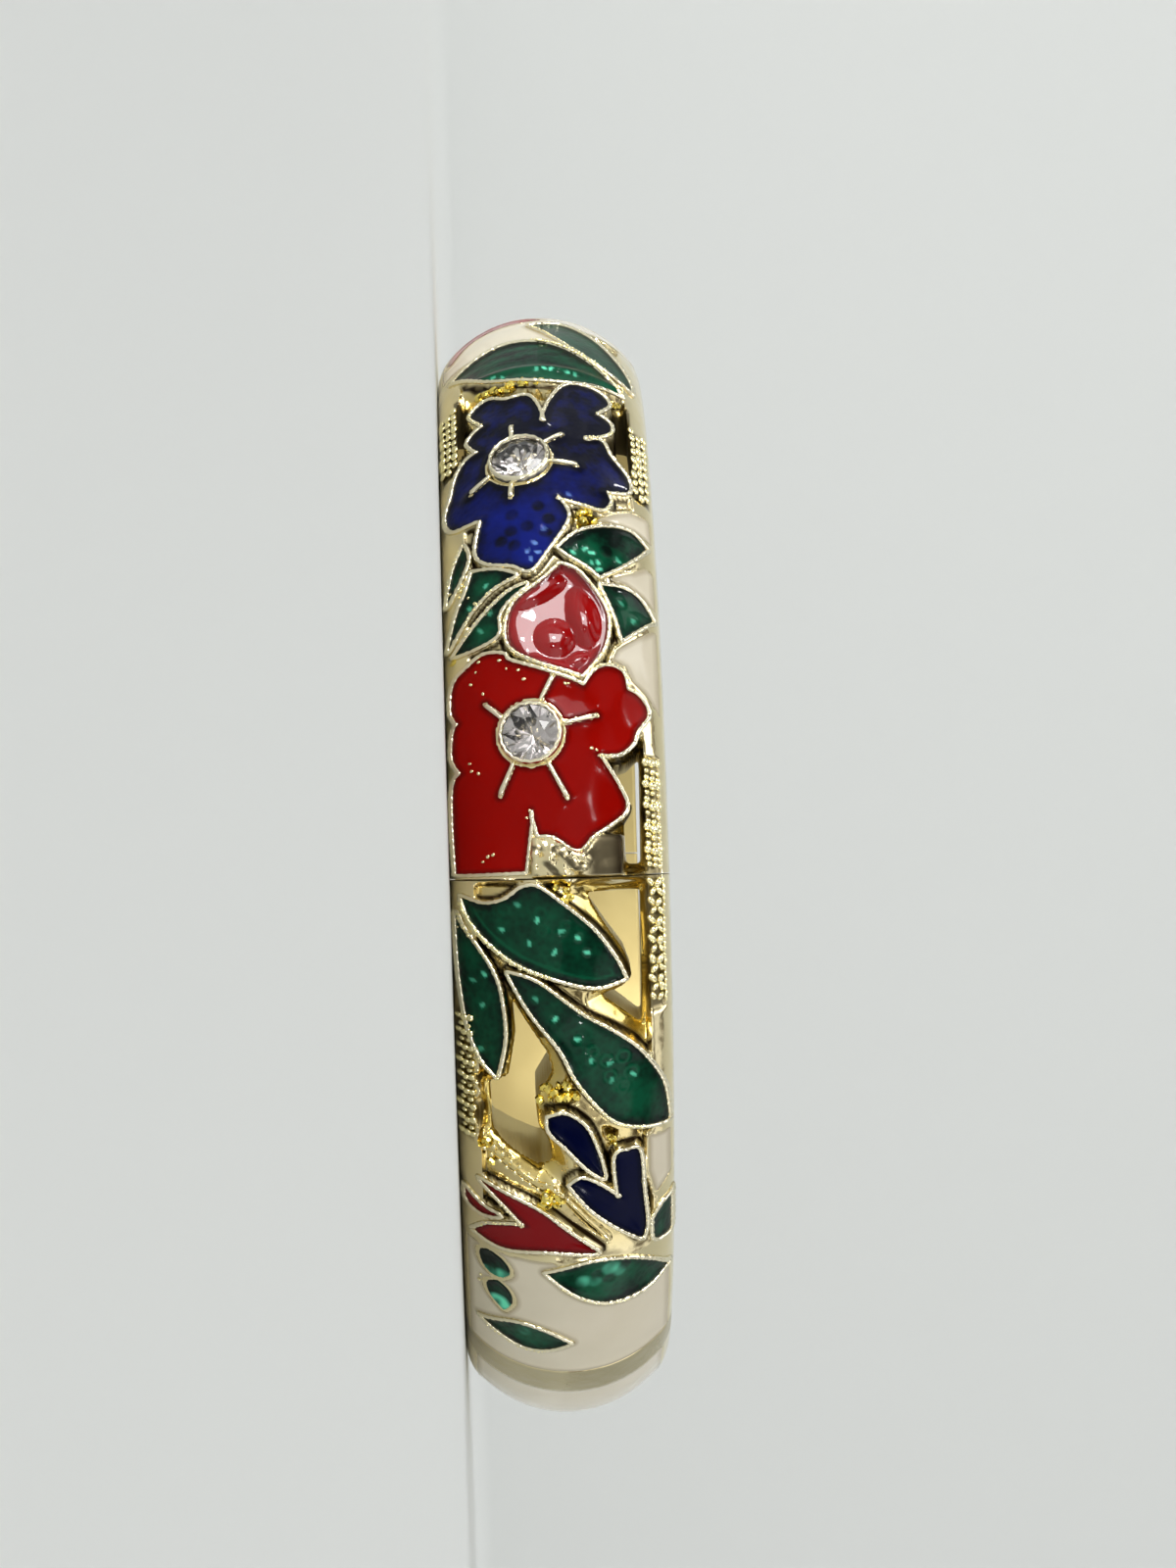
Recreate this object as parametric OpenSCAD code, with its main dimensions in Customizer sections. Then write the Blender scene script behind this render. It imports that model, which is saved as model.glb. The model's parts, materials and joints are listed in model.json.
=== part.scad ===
// Hinged enamel bangle: a gilt cast band in two halves, with enamel in its cells and two set stones.
// It lies on its side. X runs along the long axis of the oval, with the leaf half at +X. The front
// faces -Y and the hinge is at +Y. Z runs across the band, which rests on its side wall at z = 0.

/* [Wrist opening] */
// Long inner diameter, along X
inner_length = 60; // [58:0.5:62]
// Short inner diameter, from the clasp to the hinge
inner_width = 50.4; // [49.6:0.4:52]

/* [Band] */
// Width of the band, along Z
band_width = 13; // [13:0.25:13.5]
// Thickness from the flat inner face to the crown of the dome
band_thickness = 5.5; // [5.25:0.25:6]
// Height of the flat side wall below the dome
side_wall = 0.8; // [0.6:0.1:1]
// Radius of the dome's shoulders
shoulder_radius = 3.2; // [3:0.1:3.4]
// Facets across the dome
dome_steps = 12; // [8:2:16]

/* [Enamel cells] */
// Depth of the cells below the dome
cell_depth = 0.8; // [0.6:0.1:1]
// Gap round each enamel fill
fill_gap = 0.03; // [0.02:0.01:0.05]
// Width of the gold wall round a cell that stands in the white ground
cell_wall = 0.35; // [0.3:0.05:0.35]
// Depth of the blind gold recesses
recess_depth = 2; // [1.5:0.25:2.5]
// Distance from the middle of the band to the edge of the plain back cells
back_cell_half = 5.8; // [5.4:0.1:5.9]

/* [Stones] */
// Radius of a stone at its girdle
stone_radius = 1.55; // [1.4:0.05:1.6]
// Outer radius of the bezel
bezel_radius = 2; // [1.9:0.05:2.1]
// Height of the bezel above the dome
bezel_rise = 0.45; // [0.3:0.05:0.6]
// Width of the gold rays in the flowers
ray_width = 0.4; // [0.3:0.05:0.5]

/* [Hinge] */
// Radius of the hinge barrel
knuckle_radius = 1.5; // [1.4:0.05:1.6]
// Length of one of the three knuckles
knuckle_length = 2.6; // [2.4:0.1:2.8]
// Radius of the hinge pin
pin_radius = 0.5; // [0.4:0.05:0.6]
// Radial clearance of the pin in its bores
pin_clearance = 0.05; // [0.04:0.01:0.08]
// Clearance round a knuckle that turns in the other half
knuckle_clearance = 0.25; // [0.2:0.05:0.3]
// How far the leaf half opens, in degrees
open_angle = 60; // [45:5:60]

/* [Clasp] */
// Gap between the halves at each seam
seam_gap = 0.1; // [0.05:0.05:0.2]
// Length of the tongue on each side of the seam
tongue_reach = 3.3; // [3:0.1:3.6]
// Width of the tongue along Z
tongue_width = 4; // [3.5:0.25:4]
// Thickness of the tongue
tongue_thickness = 1.2; // [1:0.1:1.2]
// Clearance of the tongue in its slot
tongue_clearance = 0.25; // [0.2:0.05:0.3]

/* [Hidden] */
$fn = 48;
gold = "#C9B26A";
white_enamel = "#EDE6DA";
green_enamel = "#0B6B45";
red_enamel = "#A3140E";
crimson_enamel = "#8E0F16";
blue_enamel = "#16205E";
glass = "#DDE3E8";
degrees = 180 / PI;

// The oval of the crown line has four arcs, with the long ones centred on Y and the short ones on X.
// The centres of neighbouring arcs and the middle stand on a 3-4-5 triangle.
oval_step = (inner_length - inner_width) / 4;
end_x = 4 * oval_step;
side_y = 3 * oval_step;
end_radius = inner_length / 2 + band_thickness - end_x;
side_radius = end_radius + 5 * oval_step;
crown_b = side_radius - side_y;
join_angle = atan2(end_x, side_y);
s_join = side_radius * join_angle / degrees;
s_back = s_join + end_radius * (180 - 2 * join_angle) / degrees;
s_half = s_back + s_join;

// The dome across the band: a wide middle arc between two shoulders
half_width = band_width / 2;
dome_rise = band_thickness - side_wall;
shoulder_w = half_width - shoulder_radius;
middle_drop = (shoulder_w * shoulder_w - pow(dome_rise - shoulder_radius, 2))
    / (2 * (dome_rise - shoulder_radius));
middle_radius = dome_rise + middle_drop;
shoulder_angle = atan2(shoulder_w, middle_drop);

// The hinge barrel lies flush with the crown at the back
pivot_y = crown_b - knuckle_radius;
barrel_low = half_width - 1.5 * knuckle_length;
relief_angle = open_angle / 2 + 2;
hinge_plain = 5.4;
sector_reach = 100;
seat_margin = 0.12;

// The tongue lies between the inner face and the floor of the cells
tongue_y = -(inner_width / 2 + 1.7);
tongue_w = -1.5;

// Places on the band are [s, w]: s along the crown line from the clasp, positive on the leaf half,
// and w across the band from its middle. An outline is a list of stretches that meet at corners.
blue_flower_centre = [-27.4, -1.6];
red_flower_centre = [-8.6, -1.5];

blue_flower = [
    [[-30.6, -0.1], [-32.1, -0.4], [-33.3, -1.0], [-33.3, -2.3], [-33.9, -3.4], [-33.2, -4.4], [-31.5, -3.6]],
    [[-31.5, -3.6], [-31.1, -4.3], [-30.5, -4.6], [-29.2, -4.0]],
    [[-29.2, -4.0], [-29.0, -4.8], [-28.1, -5.4], [-26.8, -5.7], [-25.4, -6.1], [-23.8, -5.6], [-23.5, -3.9]],
    [[-23.5, -3.9], [-21.2, -4.3], [-20.1, -3.7], [-19.5, -2.2], [-19.0, -1.2], [-20.3, -0.2], [-21.9, 0.8],
        [-23.0, 1.1], [-24.2, 0.5]],
    [[-24.2, 0.5], [-23.8, 2.0], [-23.7, 3.2], [-24.5, 3.7], [-25.2, 3.5]],
    [[-25.2, 3.5], [-25.9, 4.8], [-27.1, 4.9], [-28.4, 3.9], [-29.5, 3.4], [-29.3, 2.4]],
    [[-29.3, 2.4], [-30.5, 3.8], [-31.6, 4.0], [-32.1, 3.1]],
    [[-32.1, 3.1], [-33.7, 4.0], [-34.6, 3.3], [-34.5, 1.6], [-32.7, 0.5], [-30.6, -0.1]]
];
red_flower = [
    [[-11.3, 1.7], [-12.3, 2.4], [-12.7, 3.2], [-12.4, 4.0], [-11.4, 4.2]],
    [[-11.4, 4.2], [-11.0, 5.0], [-10.1, 5.4], [-8.9, 4.7], [-8.1, 4.4], [-7.4, 3.6], [-7.3, 2.3]],
    [[-7.3, 2.3], [-5.5, 3.4], [-4.1, 3.9], [-3.2, 3.0], [-2.5, 1.9], [-1.7, 1.0], [-2.5, -0.3], [-2.6, -1.2]],
    [[-2.6, -1.2], [-4.1, -1.6]],
    [[-4.1, -1.6], [-0.5, -2.1]],
    [[-0.5, -2.1], [-0.4, -6.1]],
    [[-0.4, -6.1], [-3.5, -6.2], [-6.0, -6.1], [-6.7, -5.6]],
    [[-6.7, -5.6], [-7.8, -6.1], [-9.4, -6.0], [-9.9, -5.7]],
    [[-9.9, -5.7], [-10.9, -6.1], [-12.6, -5.9], [-13.4, -4.9], [-13.8, -4.1], [-13.6, -3.0], [-13.1, -2.6],
        [-12.3, -0.7], [-11.7, 0.9], [-11.3, 1.7]]
];
red_bud = [
    [[-19.2, 0.6], [-18.2, -0.4], [-17.0, -2.0], [-15.8, -2.6], [-14.4, -2.6], [-13.6, -2.0]],
    [[-13.6, -2.0], [-12.9, -0.7], [-12.4, 0.8], [-12.1, 1.6]],
    [[-12.1, 1.6], [-13.7, 2.8], [-15.2, 3.2], [-16.4, 3.1], [-17.7, 2.4], [-18.8, 1.5], [-19.2, 0.6]]
];
leaf_a = [
    [[-39.7, -5.5], [-40.6, -2.8], [-40.4, -0.7], [-39.5, 1.2], [-37.6, 3.4], [-35.7, 4.9]],
    [[-35.7, 4.9], [-35.3, 3.3], [-34.9, 1.1], [-35.3, -1.3], [-36.4, -3.4], [-39.7, -5.5]]
];
leaf_b = [
    [[-44.2, -0.5], [-42.8, 0.1], [-40.0, 1.8], [-38.2, 3.8], [-37.4, 5.6]],
    [[-37.4, 5.6], [-39.0, 5.5], [-40.8, 4.8], [-43.2, 3.2], [-44.6, 1.4], [-44.2, -0.5]]
];
leaf_c = [
    [[-20.4, 0.6], [-21.5, 1.7], [-22.3, 3.4], [-22.6, 4.9], [-22.0, 5.8]],
    [[-22.0, 5.8], [-21.0, 5.2], [-19.7, 4.1], [-18.7, 2.9]],
    [[-18.7, 2.9], [-19.3, 2.2], [-19.9, 1.2], [-20.4, 0.6]]
];
leaf_d = [
    [[-18.0, 3.0], [-18.1, 4.4], [-17.7, 5.3], [-16.7, 6.0]],
    [[-16.7, 6.0], [-15.6, 5.0], [-14.7, 4.1]],
    [[-14.7, 4.1], [-16.0, 3.8], [-17.1, 3.4], [-18.0, 3.0]]
];
leaf_e = [
    [[-22.0, -5.1], [-20.4, -5.8], [-18.3, -6.2]],
    [[-18.3, -6.2], [-19.4, -5.5], [-20.8, -4.9], [-22.0, -5.1]]
];
leaf_f = [
    [[-19.7, -4.6], [-18.5, -5.0], [-17.2, -5.6], [-15.0, -6.2]],
    [[-15.0, -6.2], [-16.2, -5.4], [-17.3, -4.5], [-18.2, -3.4], [-18.7, -2.1]],
    [[-18.7, -2.1], [-19.3, -3.2], [-19.7, -4.6]]
];
leaf_g = [
    [[-18.0, -1.4], [-17.6, -2.5], [-16.6, -3.8], [-15.5, -4.9], [-14.5, -5.8]],
    [[-14.5, -5.8], [-14.5, -4.6], [-15.0, -3.3], [-16.2, -3.2], [-17.1, -2.6], [-18.0, -1.4]]
];
leaf_h = [
    [[1.1, -5.8], [1.5, -4.6], [1.3, -3.4], [0.6, -2.4]],
    [[0.6, -2.4], [0.5, -1.5], [1.5, -0.1], [3.1, 1.7], [4.8, 2.9], [6.1, 3.5]],
    [[6.1, 3.5], [6.4, 1.9], [5.9, -0.2], [4.9, -2.7], [3.6, -4.4], [2.3, -5.4], [1.1, -5.8]]
];
leaf_i = [
    [[2.0, -6.2], [2.9, -5.9], [4.4, -4.9], [5.6, -4.2], [6.9, -3.8], [9.5, -3.6], [12.1, -4.1]],
    [[12.1, -4.1], [11.2, -4.9], [9.4, -5.6], [6.8, -6.0], [4.6, -6.15], [2.0, -6.2]]
];
leaf_j = [
    [[5.6, -3.2], [6.2, -1.5], [8.1, 0.9], [9.4, 2.8], [11.0, 4.4], [13.5, 5.7], [16.4, 6.1]],
    [[16.4, 6.1], [15.9, 4.6], [15.1, 3.0], [13.9, 1.9], [12.0, 0.6], [10.1, -0.3], [7.8, -2.0], [5.6, -3.2]]
];
leaf_m = [
    [[23.3, 5.1], [22.6, 5.7], [22.5, 6.2]],
    [[22.5, 6.2], [25.6, 6.2]],
    [[25.6, 6.2], [25.1, 5.2], [23.3, 5.1]]
];
leaf_n = [
    [[26.0, -1.4], [25.2, 1.2], [25.6, 3.3], [26.9, 4.9], [28.6, 6.0]],
    [[28.6, 6.0], [29.2, 4.6], [29.1, 2.9], [28.6, 1.5], [27.6, 0.1], [26.0, -1.4]]
];
leaf_o = [[[25.7, -4.6], [26.4, -3.8], [27.3, -4.3], [27.4, -4.9], [26.6, -5.3], [25.7, -4.6]]];
leaf_o_tip = [
    [[28.2, -4.4], [29.3, -3.9], [30.4, -4.4]],
    [[30.4, -4.4], [29.3, -5.0], [28.2, -4.4]]
];
leaf_p = [
    [[32.8, -5.4], [31.4, -3.4], [31.6, -1.6], [32.7, -0.1]],
    [[32.7, -0.1], [33.5, -1.5], [33.7, -3.1], [32.8, -5.4]]
];
red_spray = [
    [[19.85, -5.35], [20.9, -2.1], [22.5, -0.2], [24.4, 1.65]],
    [[24.4, 1.65], [24.1, -1.4], [24.6, -4.1], [24.45, -5.65]],
    [[24.45, -5.65], [23.3, -4.9], [22.6, -3.6], [22.4, -2.65]],
    [[22.4, -2.65], [21.2, -3.75], [19.85, -5.35]]
];
red_sliver = [
    [[21.3, -6.1], [21.9, -5.1], [22.1, -4.1]],
    [[22.1, -4.1], [22.5, -5.2], [22.2, -6.1], [21.3, -6.1]]
];
blue_petal = [
    [[14.5, -1.1], [14.3, -0.1], [15.2, 1.0], [17.0, 1.7], [18.8, 2.1]],
    [[18.8, 2.1], [18.0, 1.2], [16.4, -0.1], [15.4, -1.0], [14.5, -1.1]]
];
blue_spray = [
    [[19.1, 0.1], [18.7, 0.8], [19.4, 1.9], [20.6, 3.0]],
    [[20.6, 3.0], [17.6, 2.8], [17.3, 3.5], [17.7, 4.2], [20.7, 4.4], [23.3, 4.6], [24.4, 4.4]],
    [[24.4, 4.4], [22.5, 2.7], [20.9, 1.3], [19.1, 0.1]]
];
top_petal = [
    [[-44.4, -5.6], [-45.8, -4.6], [-46.2, -3.4], [-46.1, -2.2], [-46.2, -1.0], [-46.8, 0.2]],
    [[-46.8, 0.2], [-48.0, -0.6], [-48.9, -2.0], [-49.2, -3.8], [-48.3, -5.3], [-46.4, -5.8], [-44.4, -5.6]]
];

// White fields, as plain polygons
shoulder_field = [[-22.8, 3.1], [-23.5, 3.9], [-24.2, 4.9], [-24.6, 6.1], [-22.8, 6.2], [-23.0, 5.2], [-22.9, 4.2]];
middle_field = [[-18.6, 3.6], [-19.5, 4.9], [-20.4, 5.8], [-20.3, 6.2], [-17.6, 6.2], [-18.2, 5.5], [-18.6, 4.5]];
flank_field = [[-13.9, 3.8], [-15.0, 5.1], [-16.0, 6.2], [-10.3, 6.2], [-11.5, 5.4], [-12.0, 4.7], [-12.9, 4.3],
    [-13.2, 3.5]];
side_field = [[16.9, 4.9], [17.3, 6.2], [20.6, 6.2], [21.3, 5.3], [19.5, 4.9]];
top_field = [[-41.6, -6.1], [-39.0, 0], [-40.5, 2.5], [-41.2, 3.9], [-43.0, 3.0], [-44.8, 3.2], [-45.6, 6.1],
    [-49.9, 6.1], [-49.9, -6.1]];
lower_field = [[25.5, -6.1], [25.2, -3.0], [25.2, -1.0], [26.6, 0.8], [27.4, 3.6], [28.8, 5.5], [29.3, 6.1],
    [36.2, 6.1], [36.2, -6.1]];
top_leaves = [leaf_a, leaf_b, top_petal];
lower_leaves = [leaf_n, leaf_o, leaf_o_tip, leaf_p];
divider = 3.2;
lower_back_start = 36.2 + divider;
top_back_start = 49.9 + divider / 2;

// Through holes of the openwork
holes_flower = [
    [[-36.2, -5.3], [-36.0, -4.6], [-34.6, -4.8], [-33.3, -4.95], [-32.1, -4.5], [-31.4, -4.75], [-30.6, -5.05],
        [-29.9, -5.1], [-29.6, -5.4]],
    [[-34.9, 4.1], [-34.5, 5.2], [-28.0, 5.3], [-27.9, 4.8], [-28.8, 4.35], [-29.7, 3.9], [-30.1, 3.9],
        [-30.8, 4.4], [-31.8, 4.45], [-32.3, 4.0], [-33.7, 4.5]],
    [[-7.9, 4.9], [-7.0, 4.1], [-6.7, 3.1], [-5.4, 3.9], [-4.2, 4.4], [-3.2, 3.8], [-0.7, 3.9], [-0.7, 4.8]]
];
holes_leaf = [
    [[0.9, 1.4], [0.9, 4.7], [9.6, 4.6], [8.5, 3.5], [7.3, 2.2], [7.0, 3.4], [6.4, 4.1], [4.7, 3.6], [2.9, 2.5]],
    [[7.4, -3.1], [9.0, -2.2], [10.8, -1.1], [12.0, -0.8], [13.2, -1.4], [14.0, -1.8], [15.6, -1.7], [16.8, -1.1],
        [18.2, -0.9], [18.6, -1.6], [17.6, -3.2], [16.6, -4.4], [13.2, -4.5], [12.6, -3.4], [9.6, -2.9]],
    [[12.3, -5.1], [12.8, -4.8], [13.2, -5.1], [12.8, -5.4]],
    [[13.9, -5.15], [15.0, -4.85], [16.4, -5.05], [16.0, -5.4], [14.6, -5.5]]
];
// Blind recesses between the cells
recesses_flower = [
    [[-35.7, -4.0], [-35.5, -3.0], [-34.7, -1.2], [-34.3, 0.3], [-33.2, 0.1], [-33.8, -1.0], [-34.4, -3.2]],
    [[-23.3, 1.9], [-23.0, 4.0], [-22.8, 3.2], [-22.2, 1.9]]
];
recesses_leaf = [
    [[12.3, -0.3], [13.0, 0.7], [13.9, 0.6], [13.9, -0.9]],
    [[15.4, 1.9], [16.0, 3.1], [16.8, 3.0], [16.6, 2.2]]
];
// Gold rays in the flowers, each from its inner to its outer end
blue_rays = [
    [[-29.2, -2.0], [-30.6, -2.0]], [[-28.6, -0.2], [-29.5, 1.1]], [[-27.1, 0.2], [-26.9, 1.9]],
    [[-25.8, -2.1], [-24.5, -2.2]], [[-26.7, -3.3], [-25.9, -4.6]]
];
red_rays = [
    [[-10.5, -0.9], [-12.0, -0.1]], [[-9.1, 0.4], [-9.6, 2.4]], [[-6.9, -0.6], [-4.7, 0.5]],
    [[-7.0, -2.5], [-5.0, -3.4]], [[-9.6, -3.1], [-10.7, -4.1]]
];

green_leaves = [
    ["leaf_a_enamel", leaf_a], ["leaf_b_enamel", leaf_b], ["leaf_c_enamel", leaf_c], ["leaf_d_enamel", leaf_d],
    ["leaf_e_enamel", leaf_e], ["leaf_f_enamel", leaf_f], ["leaf_g_enamel", leaf_g], ["leaf_h_enamel", leaf_h],
    ["leaf_i_enamel", leaf_i], ["leaf_j_enamel", leaf_j], ["leaf_m_enamel", leaf_m], ["leaf_n_enamel", leaf_n],
    ["leaf_o_enamel", leaf_o], ["leaf_o_tip_enamel", leaf_o_tip], ["leaf_p_enamel", leaf_p]
];
red_cells = [
    ["red_bud_enamel", red_bud], ["top_petal_enamel", top_petal], ["red_spray_enamel", red_spray],
    ["red_sliver_enamel", red_sliver]
];
blue_cells = [["blue_petal_enamel", blue_petal], ["blue_spray_enamel", blue_spray]];
white_cells = [
    ["shoulder_white_enamel", shoulder_field], ["middle_white_enamel", middle_field],
    ["flank_white_enamel", flank_field], ["side_white_enamel", side_field]
];

// A point of a smooth curve through b and c, with a and d as its neighbours
function blend_point(a, b, c, d, t) =
    0.5 * (2 * b + (c - a) * t + (2 * a - 5 * b + 4 * c - d) * t * t + (3 * b - a - 3 * c + d) * t * t * t);
function stretch_points(p, n) = [
    for (i = [0 : len(p) - 2], k = [0 : n - 1])
        blend_point(p[max(i - 1, 0)], p[i], p[i + 1], p[min(i + 2, len(p) - 1)], k / n)
];
function outline_points(stretches, n = 2) =
    [for (p = stretches) each stretch_points(p, len(p) > 2 ? n : 1)];
function twice_area(p) =
    [for (i = [0 : len(p) - 1]) cross(p[i], p[(i + 1) % len(p)])] * [for (i = [0 : len(p) - 1]) 1];
function unit(v) = v / norm(v);
// Moves each point of a closed outline outwards by the amount, and inwards if it is negative
function grown(p, amount) =
    let (n = len(p), side = sign(twice_area(p)))
    [for (i = [0 : n - 1])
        let (
            e1 = unit(p[i] - p[(i + n - 1) % n]),
            e2 = unit(p[(i + 1) % n] - p[i]),
            n1 = side * [e1[1], -e1[0]],
            n2 = side * [e2[1], -e2[0]],
            mid = unit(n1 + n2)
        )
        p[i] + mid * amount * min(1.6, 1 / (mid * n1))];
function middle_s(p) = (min([for (q = p) q[0]]) + max([for (q = p) q[0]])) / 2;

// Points of the dome across the band, sunk by the amount; x is 0 at the crown
function dome_points(sunk) = [
    for (i = [0 : dome_steps])
        let (
            b = -90 + 180 * i / dome_steps,
            wide = abs(b) <= shoulder_angle,
            r = (wide ? middle_radius : shoulder_radius) - sunk
        )
        [r * cos(b) - (wide ? middle_radius : dome_rise), r * sin(b) + (wide ? 0 : sign(b) * shoulder_w)]
];
function reversed(p) = [for (i = [len(p) - 1 : -1 : 0]) p[i]];

module band_section() {
    translate([0, half_width])
        polygon(concat(dome_points(0), [[-band_thickness, half_width], [-band_thickness, -half_width]]));
}
module skin_section(outer, inner) {
    translate([0, half_width]) polygon(concat(dome_points(outer), reversed(dome_points(inner))));
}

// Carries a section along one arc of the oval, from one place to another. The whole ring is trimmed by
// planes through its axis. Two arcs meet in the plane through both their axes, at the far point given.
module arc_part(from, to, start, stop, centre, radius, start_angle, first, last) {
    function far_point(s) =
        let (angle = start_angle + (s - start) / radius * degrees)
        centre + sector_reach * [cos(angle), sin(angle)];
    if (from < stop && to > start)
        intersection() {
            translate(centre) rotate([0, 0, 180]) rotate_extrude($fn = 96) translate([radius, 0]) children();
            linear_extrude(2 * band_width, center = true)
                polygon([centre, from > start ? far_point(from) : first, to < stop ? far_point(to) : last]);
        }
}
module sweep(from, to) {
    front = [0, side_y];
    end = [end_x, 0];
    back = [0, -side_y];
    far_front = front + 10 * (end - front);
    far_back = back + 10 * (end - back);
    arc_part(from, to, 0, s_join, front, side_radius, -90, [0, -sector_reach], far_front) children();
    arc_part(from, to, s_join, s_back, end, end_radius, join_angle - 90, far_front, far_back) children();
    arc_part(from, to, s_back, s_half, back, side_radius, 90 - join_angle, far_back, [0, sector_reach]) children();
}
module sweep_half(side, from, to) {
    mirror([side < 0 ? 1 : 0, 0, 0]) sweep(from, to) children();
}

// Puts children on the crown line: their x runs along the band, y across it and z outwards
module at(s) {
    far = abs(s) > s_join;
    angle = far ? join_angle + (abs(s) - s_join) / end_radius * degrees : abs(s) / side_radius * degrees;
    translate([far ? sign(s) * end_x : 0, far ? 0 : side_y, half_width])
        rotate([0, 0, sign(s) * angle])
            translate([0, -(far ? end_radius : side_radius), 0]) rotate([90, 0, 0]) children();
}
// A prism through the band on an outline, with 2D children taken out of it
module prism(points, low = -cell_depth - 4) {
    s = middle_s(points);
    at(s) translate([0, 0, low]) linear_extrude(1.5 - low) difference() {
        polygon([for (q = points) [q[0] - s, q[1]]]);
        translate([-s, 0]) children();
    }
}
// The enamel in a cell: a skin of the dome, cut to the outline. spare is the gap on every side
module fill(points, spare = fill_gap) {
    s = middle_s(points);
    intersection() {
        sweep_half(sign(s), max(abs(s) - 12, 0), abs(s) + 12)
            skin_section(spare > 0 ? spare : -0.3, cell_depth - spare);
        prism(grown(points, -spare)) children();
    }
}
module flower_centre(centre, rays, spare = 0) {
    translate(centre) circle(bezel_radius + seat_margin + spare);
    for (ray = rays) {
        along = ray[1] - ray[0];
        translate(ray[0]) rotate(atan2(along[1], along[0])) translate([-spare, -ray_width / 2 - spare])
            square([norm(along) + 2 * spare, ray_width + 2 * spare]);
    }
}
// The enamel of a white field leaves a gold wall round each leaf that stands in it
module field_fill(field, leaves, spare = fill_gap) {
    difference() {
        fill(field, spare);
        for (leaf = leaves) prism(grown(outline_points(leaf), cell_wall + spare));
    }
}
module back_fill(side, from, spare = fill_gap) {
    sweep_half(side, from + spare, s_half - hinge_plain - spare) intersection() {
        skin_section(spare > 0 ? spare : -0.3, cell_depth - spare);
        translate([-band_thickness, half_width - back_cell_half + spare])
            square([2 * band_thickness, 2 * (back_cell_half - spare)]);
    }
}
module bezel(centre) {
    at(centre[0]) translate([0, centre[1], -2]) cylinder(h = 2 + bezel_rise, r = bezel_radius);
}
module bezel_cup(centre) {
    at(centre[0]) translate([0, centre[1], -1]) cylinder(h = 2 + bezel_rise, r = stone_radius + fill_gap);
}
module stone(centre) {
    color(glass) at(centre[0]) translate([0, centre[1], 0]) rotate_extrude()
        polygon([[0, -0.95], [stone_radius, 0], [stone_radius, 0.15], [stone_radius * 0.6, bezel_rise], [0, bezel_rise]]);
}
module barrel(low, length, r) {
    translate([0, pivot_y, low]) cylinder(h = length, r = r);
}
// The outer edge of an end face leans back, so that the halves clear each other when they turn
module end_relief(side) {
    reach = 4;
    linear_extrude(band_width)
        polygon([[0, pivot_y], [side * reach * tan(relief_angle), pivot_y + reach], [0, pivot_y + reach]]);
}
module half_blank(side) {
    difference() {
        sweep_half(side, seam_gap / 2, s_half - seam_gap / 2) band_section();
        end_relief(side);
    }
}

module flower_half_casting() {
    cells = [leaf_a, leaf_b, leaf_c, leaf_d, leaf_e, leaf_f, leaf_g, red_bud];
    color(gold) difference() {
        union() {
            difference() {
                half_blank(-1);
                barrel(barrel_low + knuckle_length - 0.05, knuckle_length + 0.1, knuckle_radius + knuckle_clearance);
            }
            for (low = [barrel_low, barrel_low + 2 * knuckle_length + 0.05])
                barrel(low, knuckle_length - 0.05, knuckle_radius);
            bezel(blue_flower_centre);
            bezel(red_flower_centre);
        }
        barrel(barrel_low - 1, 3 * knuckle_length + 2, pin_radius + pin_clearance);
        for (cell = cells) fill(outline_points(cell), 0);
        for (field = [shoulder_field, middle_field, flank_field]) fill(field, 0);
        fill(outline_points(top_petal), 0);
        fill(outline_points(blue_flower), 0) flower_centre(blue_flower_centre, blue_rays);
        fill(outline_points(red_flower), 0) flower_centre(red_flower_centre, red_rays);
        field_fill(top_field, top_leaves, 0);
        back_fill(-1, top_back_start, 0);
        for (hole = holes_flower) prism(hole, -band_thickness - 2);
        for (recess = recesses_flower) prism(recess, -recess_depth);
        bezel_cup(blue_flower_centre);
        bezel_cup(red_flower_centre);
        tongue_box(-1, tongue_clearance);
    }
}
module leaf_half_casting() {
    cells = [leaf_h, leaf_i, leaf_j, leaf_m, leaf_n, leaf_o, leaf_o_tip, leaf_p, red_spray, red_sliver, blue_petal,
        blue_spray];
    color(gold) difference() {
        union() {
            difference() {
                half_blank(1);
                for (low = [barrel_low - 0.1, barrel_low + 2 * knuckle_length - 0.05])
                    barrel(low, knuckle_length + 0.15, knuckle_radius + knuckle_clearance);
            }
            barrel(barrel_low + knuckle_length + 0.05, knuckle_length - 0.1, knuckle_radius);
        }
        barrel(barrel_low - 1, 3 * knuckle_length + 2, pin_radius + pin_clearance);
        for (cell = cells) fill(outline_points(cell), 0);
        fill(side_field, 0);
        field_fill(lower_field, lower_leaves, 0);
        back_fill(1, lower_back_start, 0);
        for (hole = holes_leaf) prism(hole, -band_thickness - 2);
        for (recess = recesses_leaf) prism(recess, -recess_depth);
        tongue_box(1, fill_gap);
    }
}
module hinge_pin() {
    color(gold) barrel(barrel_low, 3 * knuckle_length, pin_radius);
}
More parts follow.
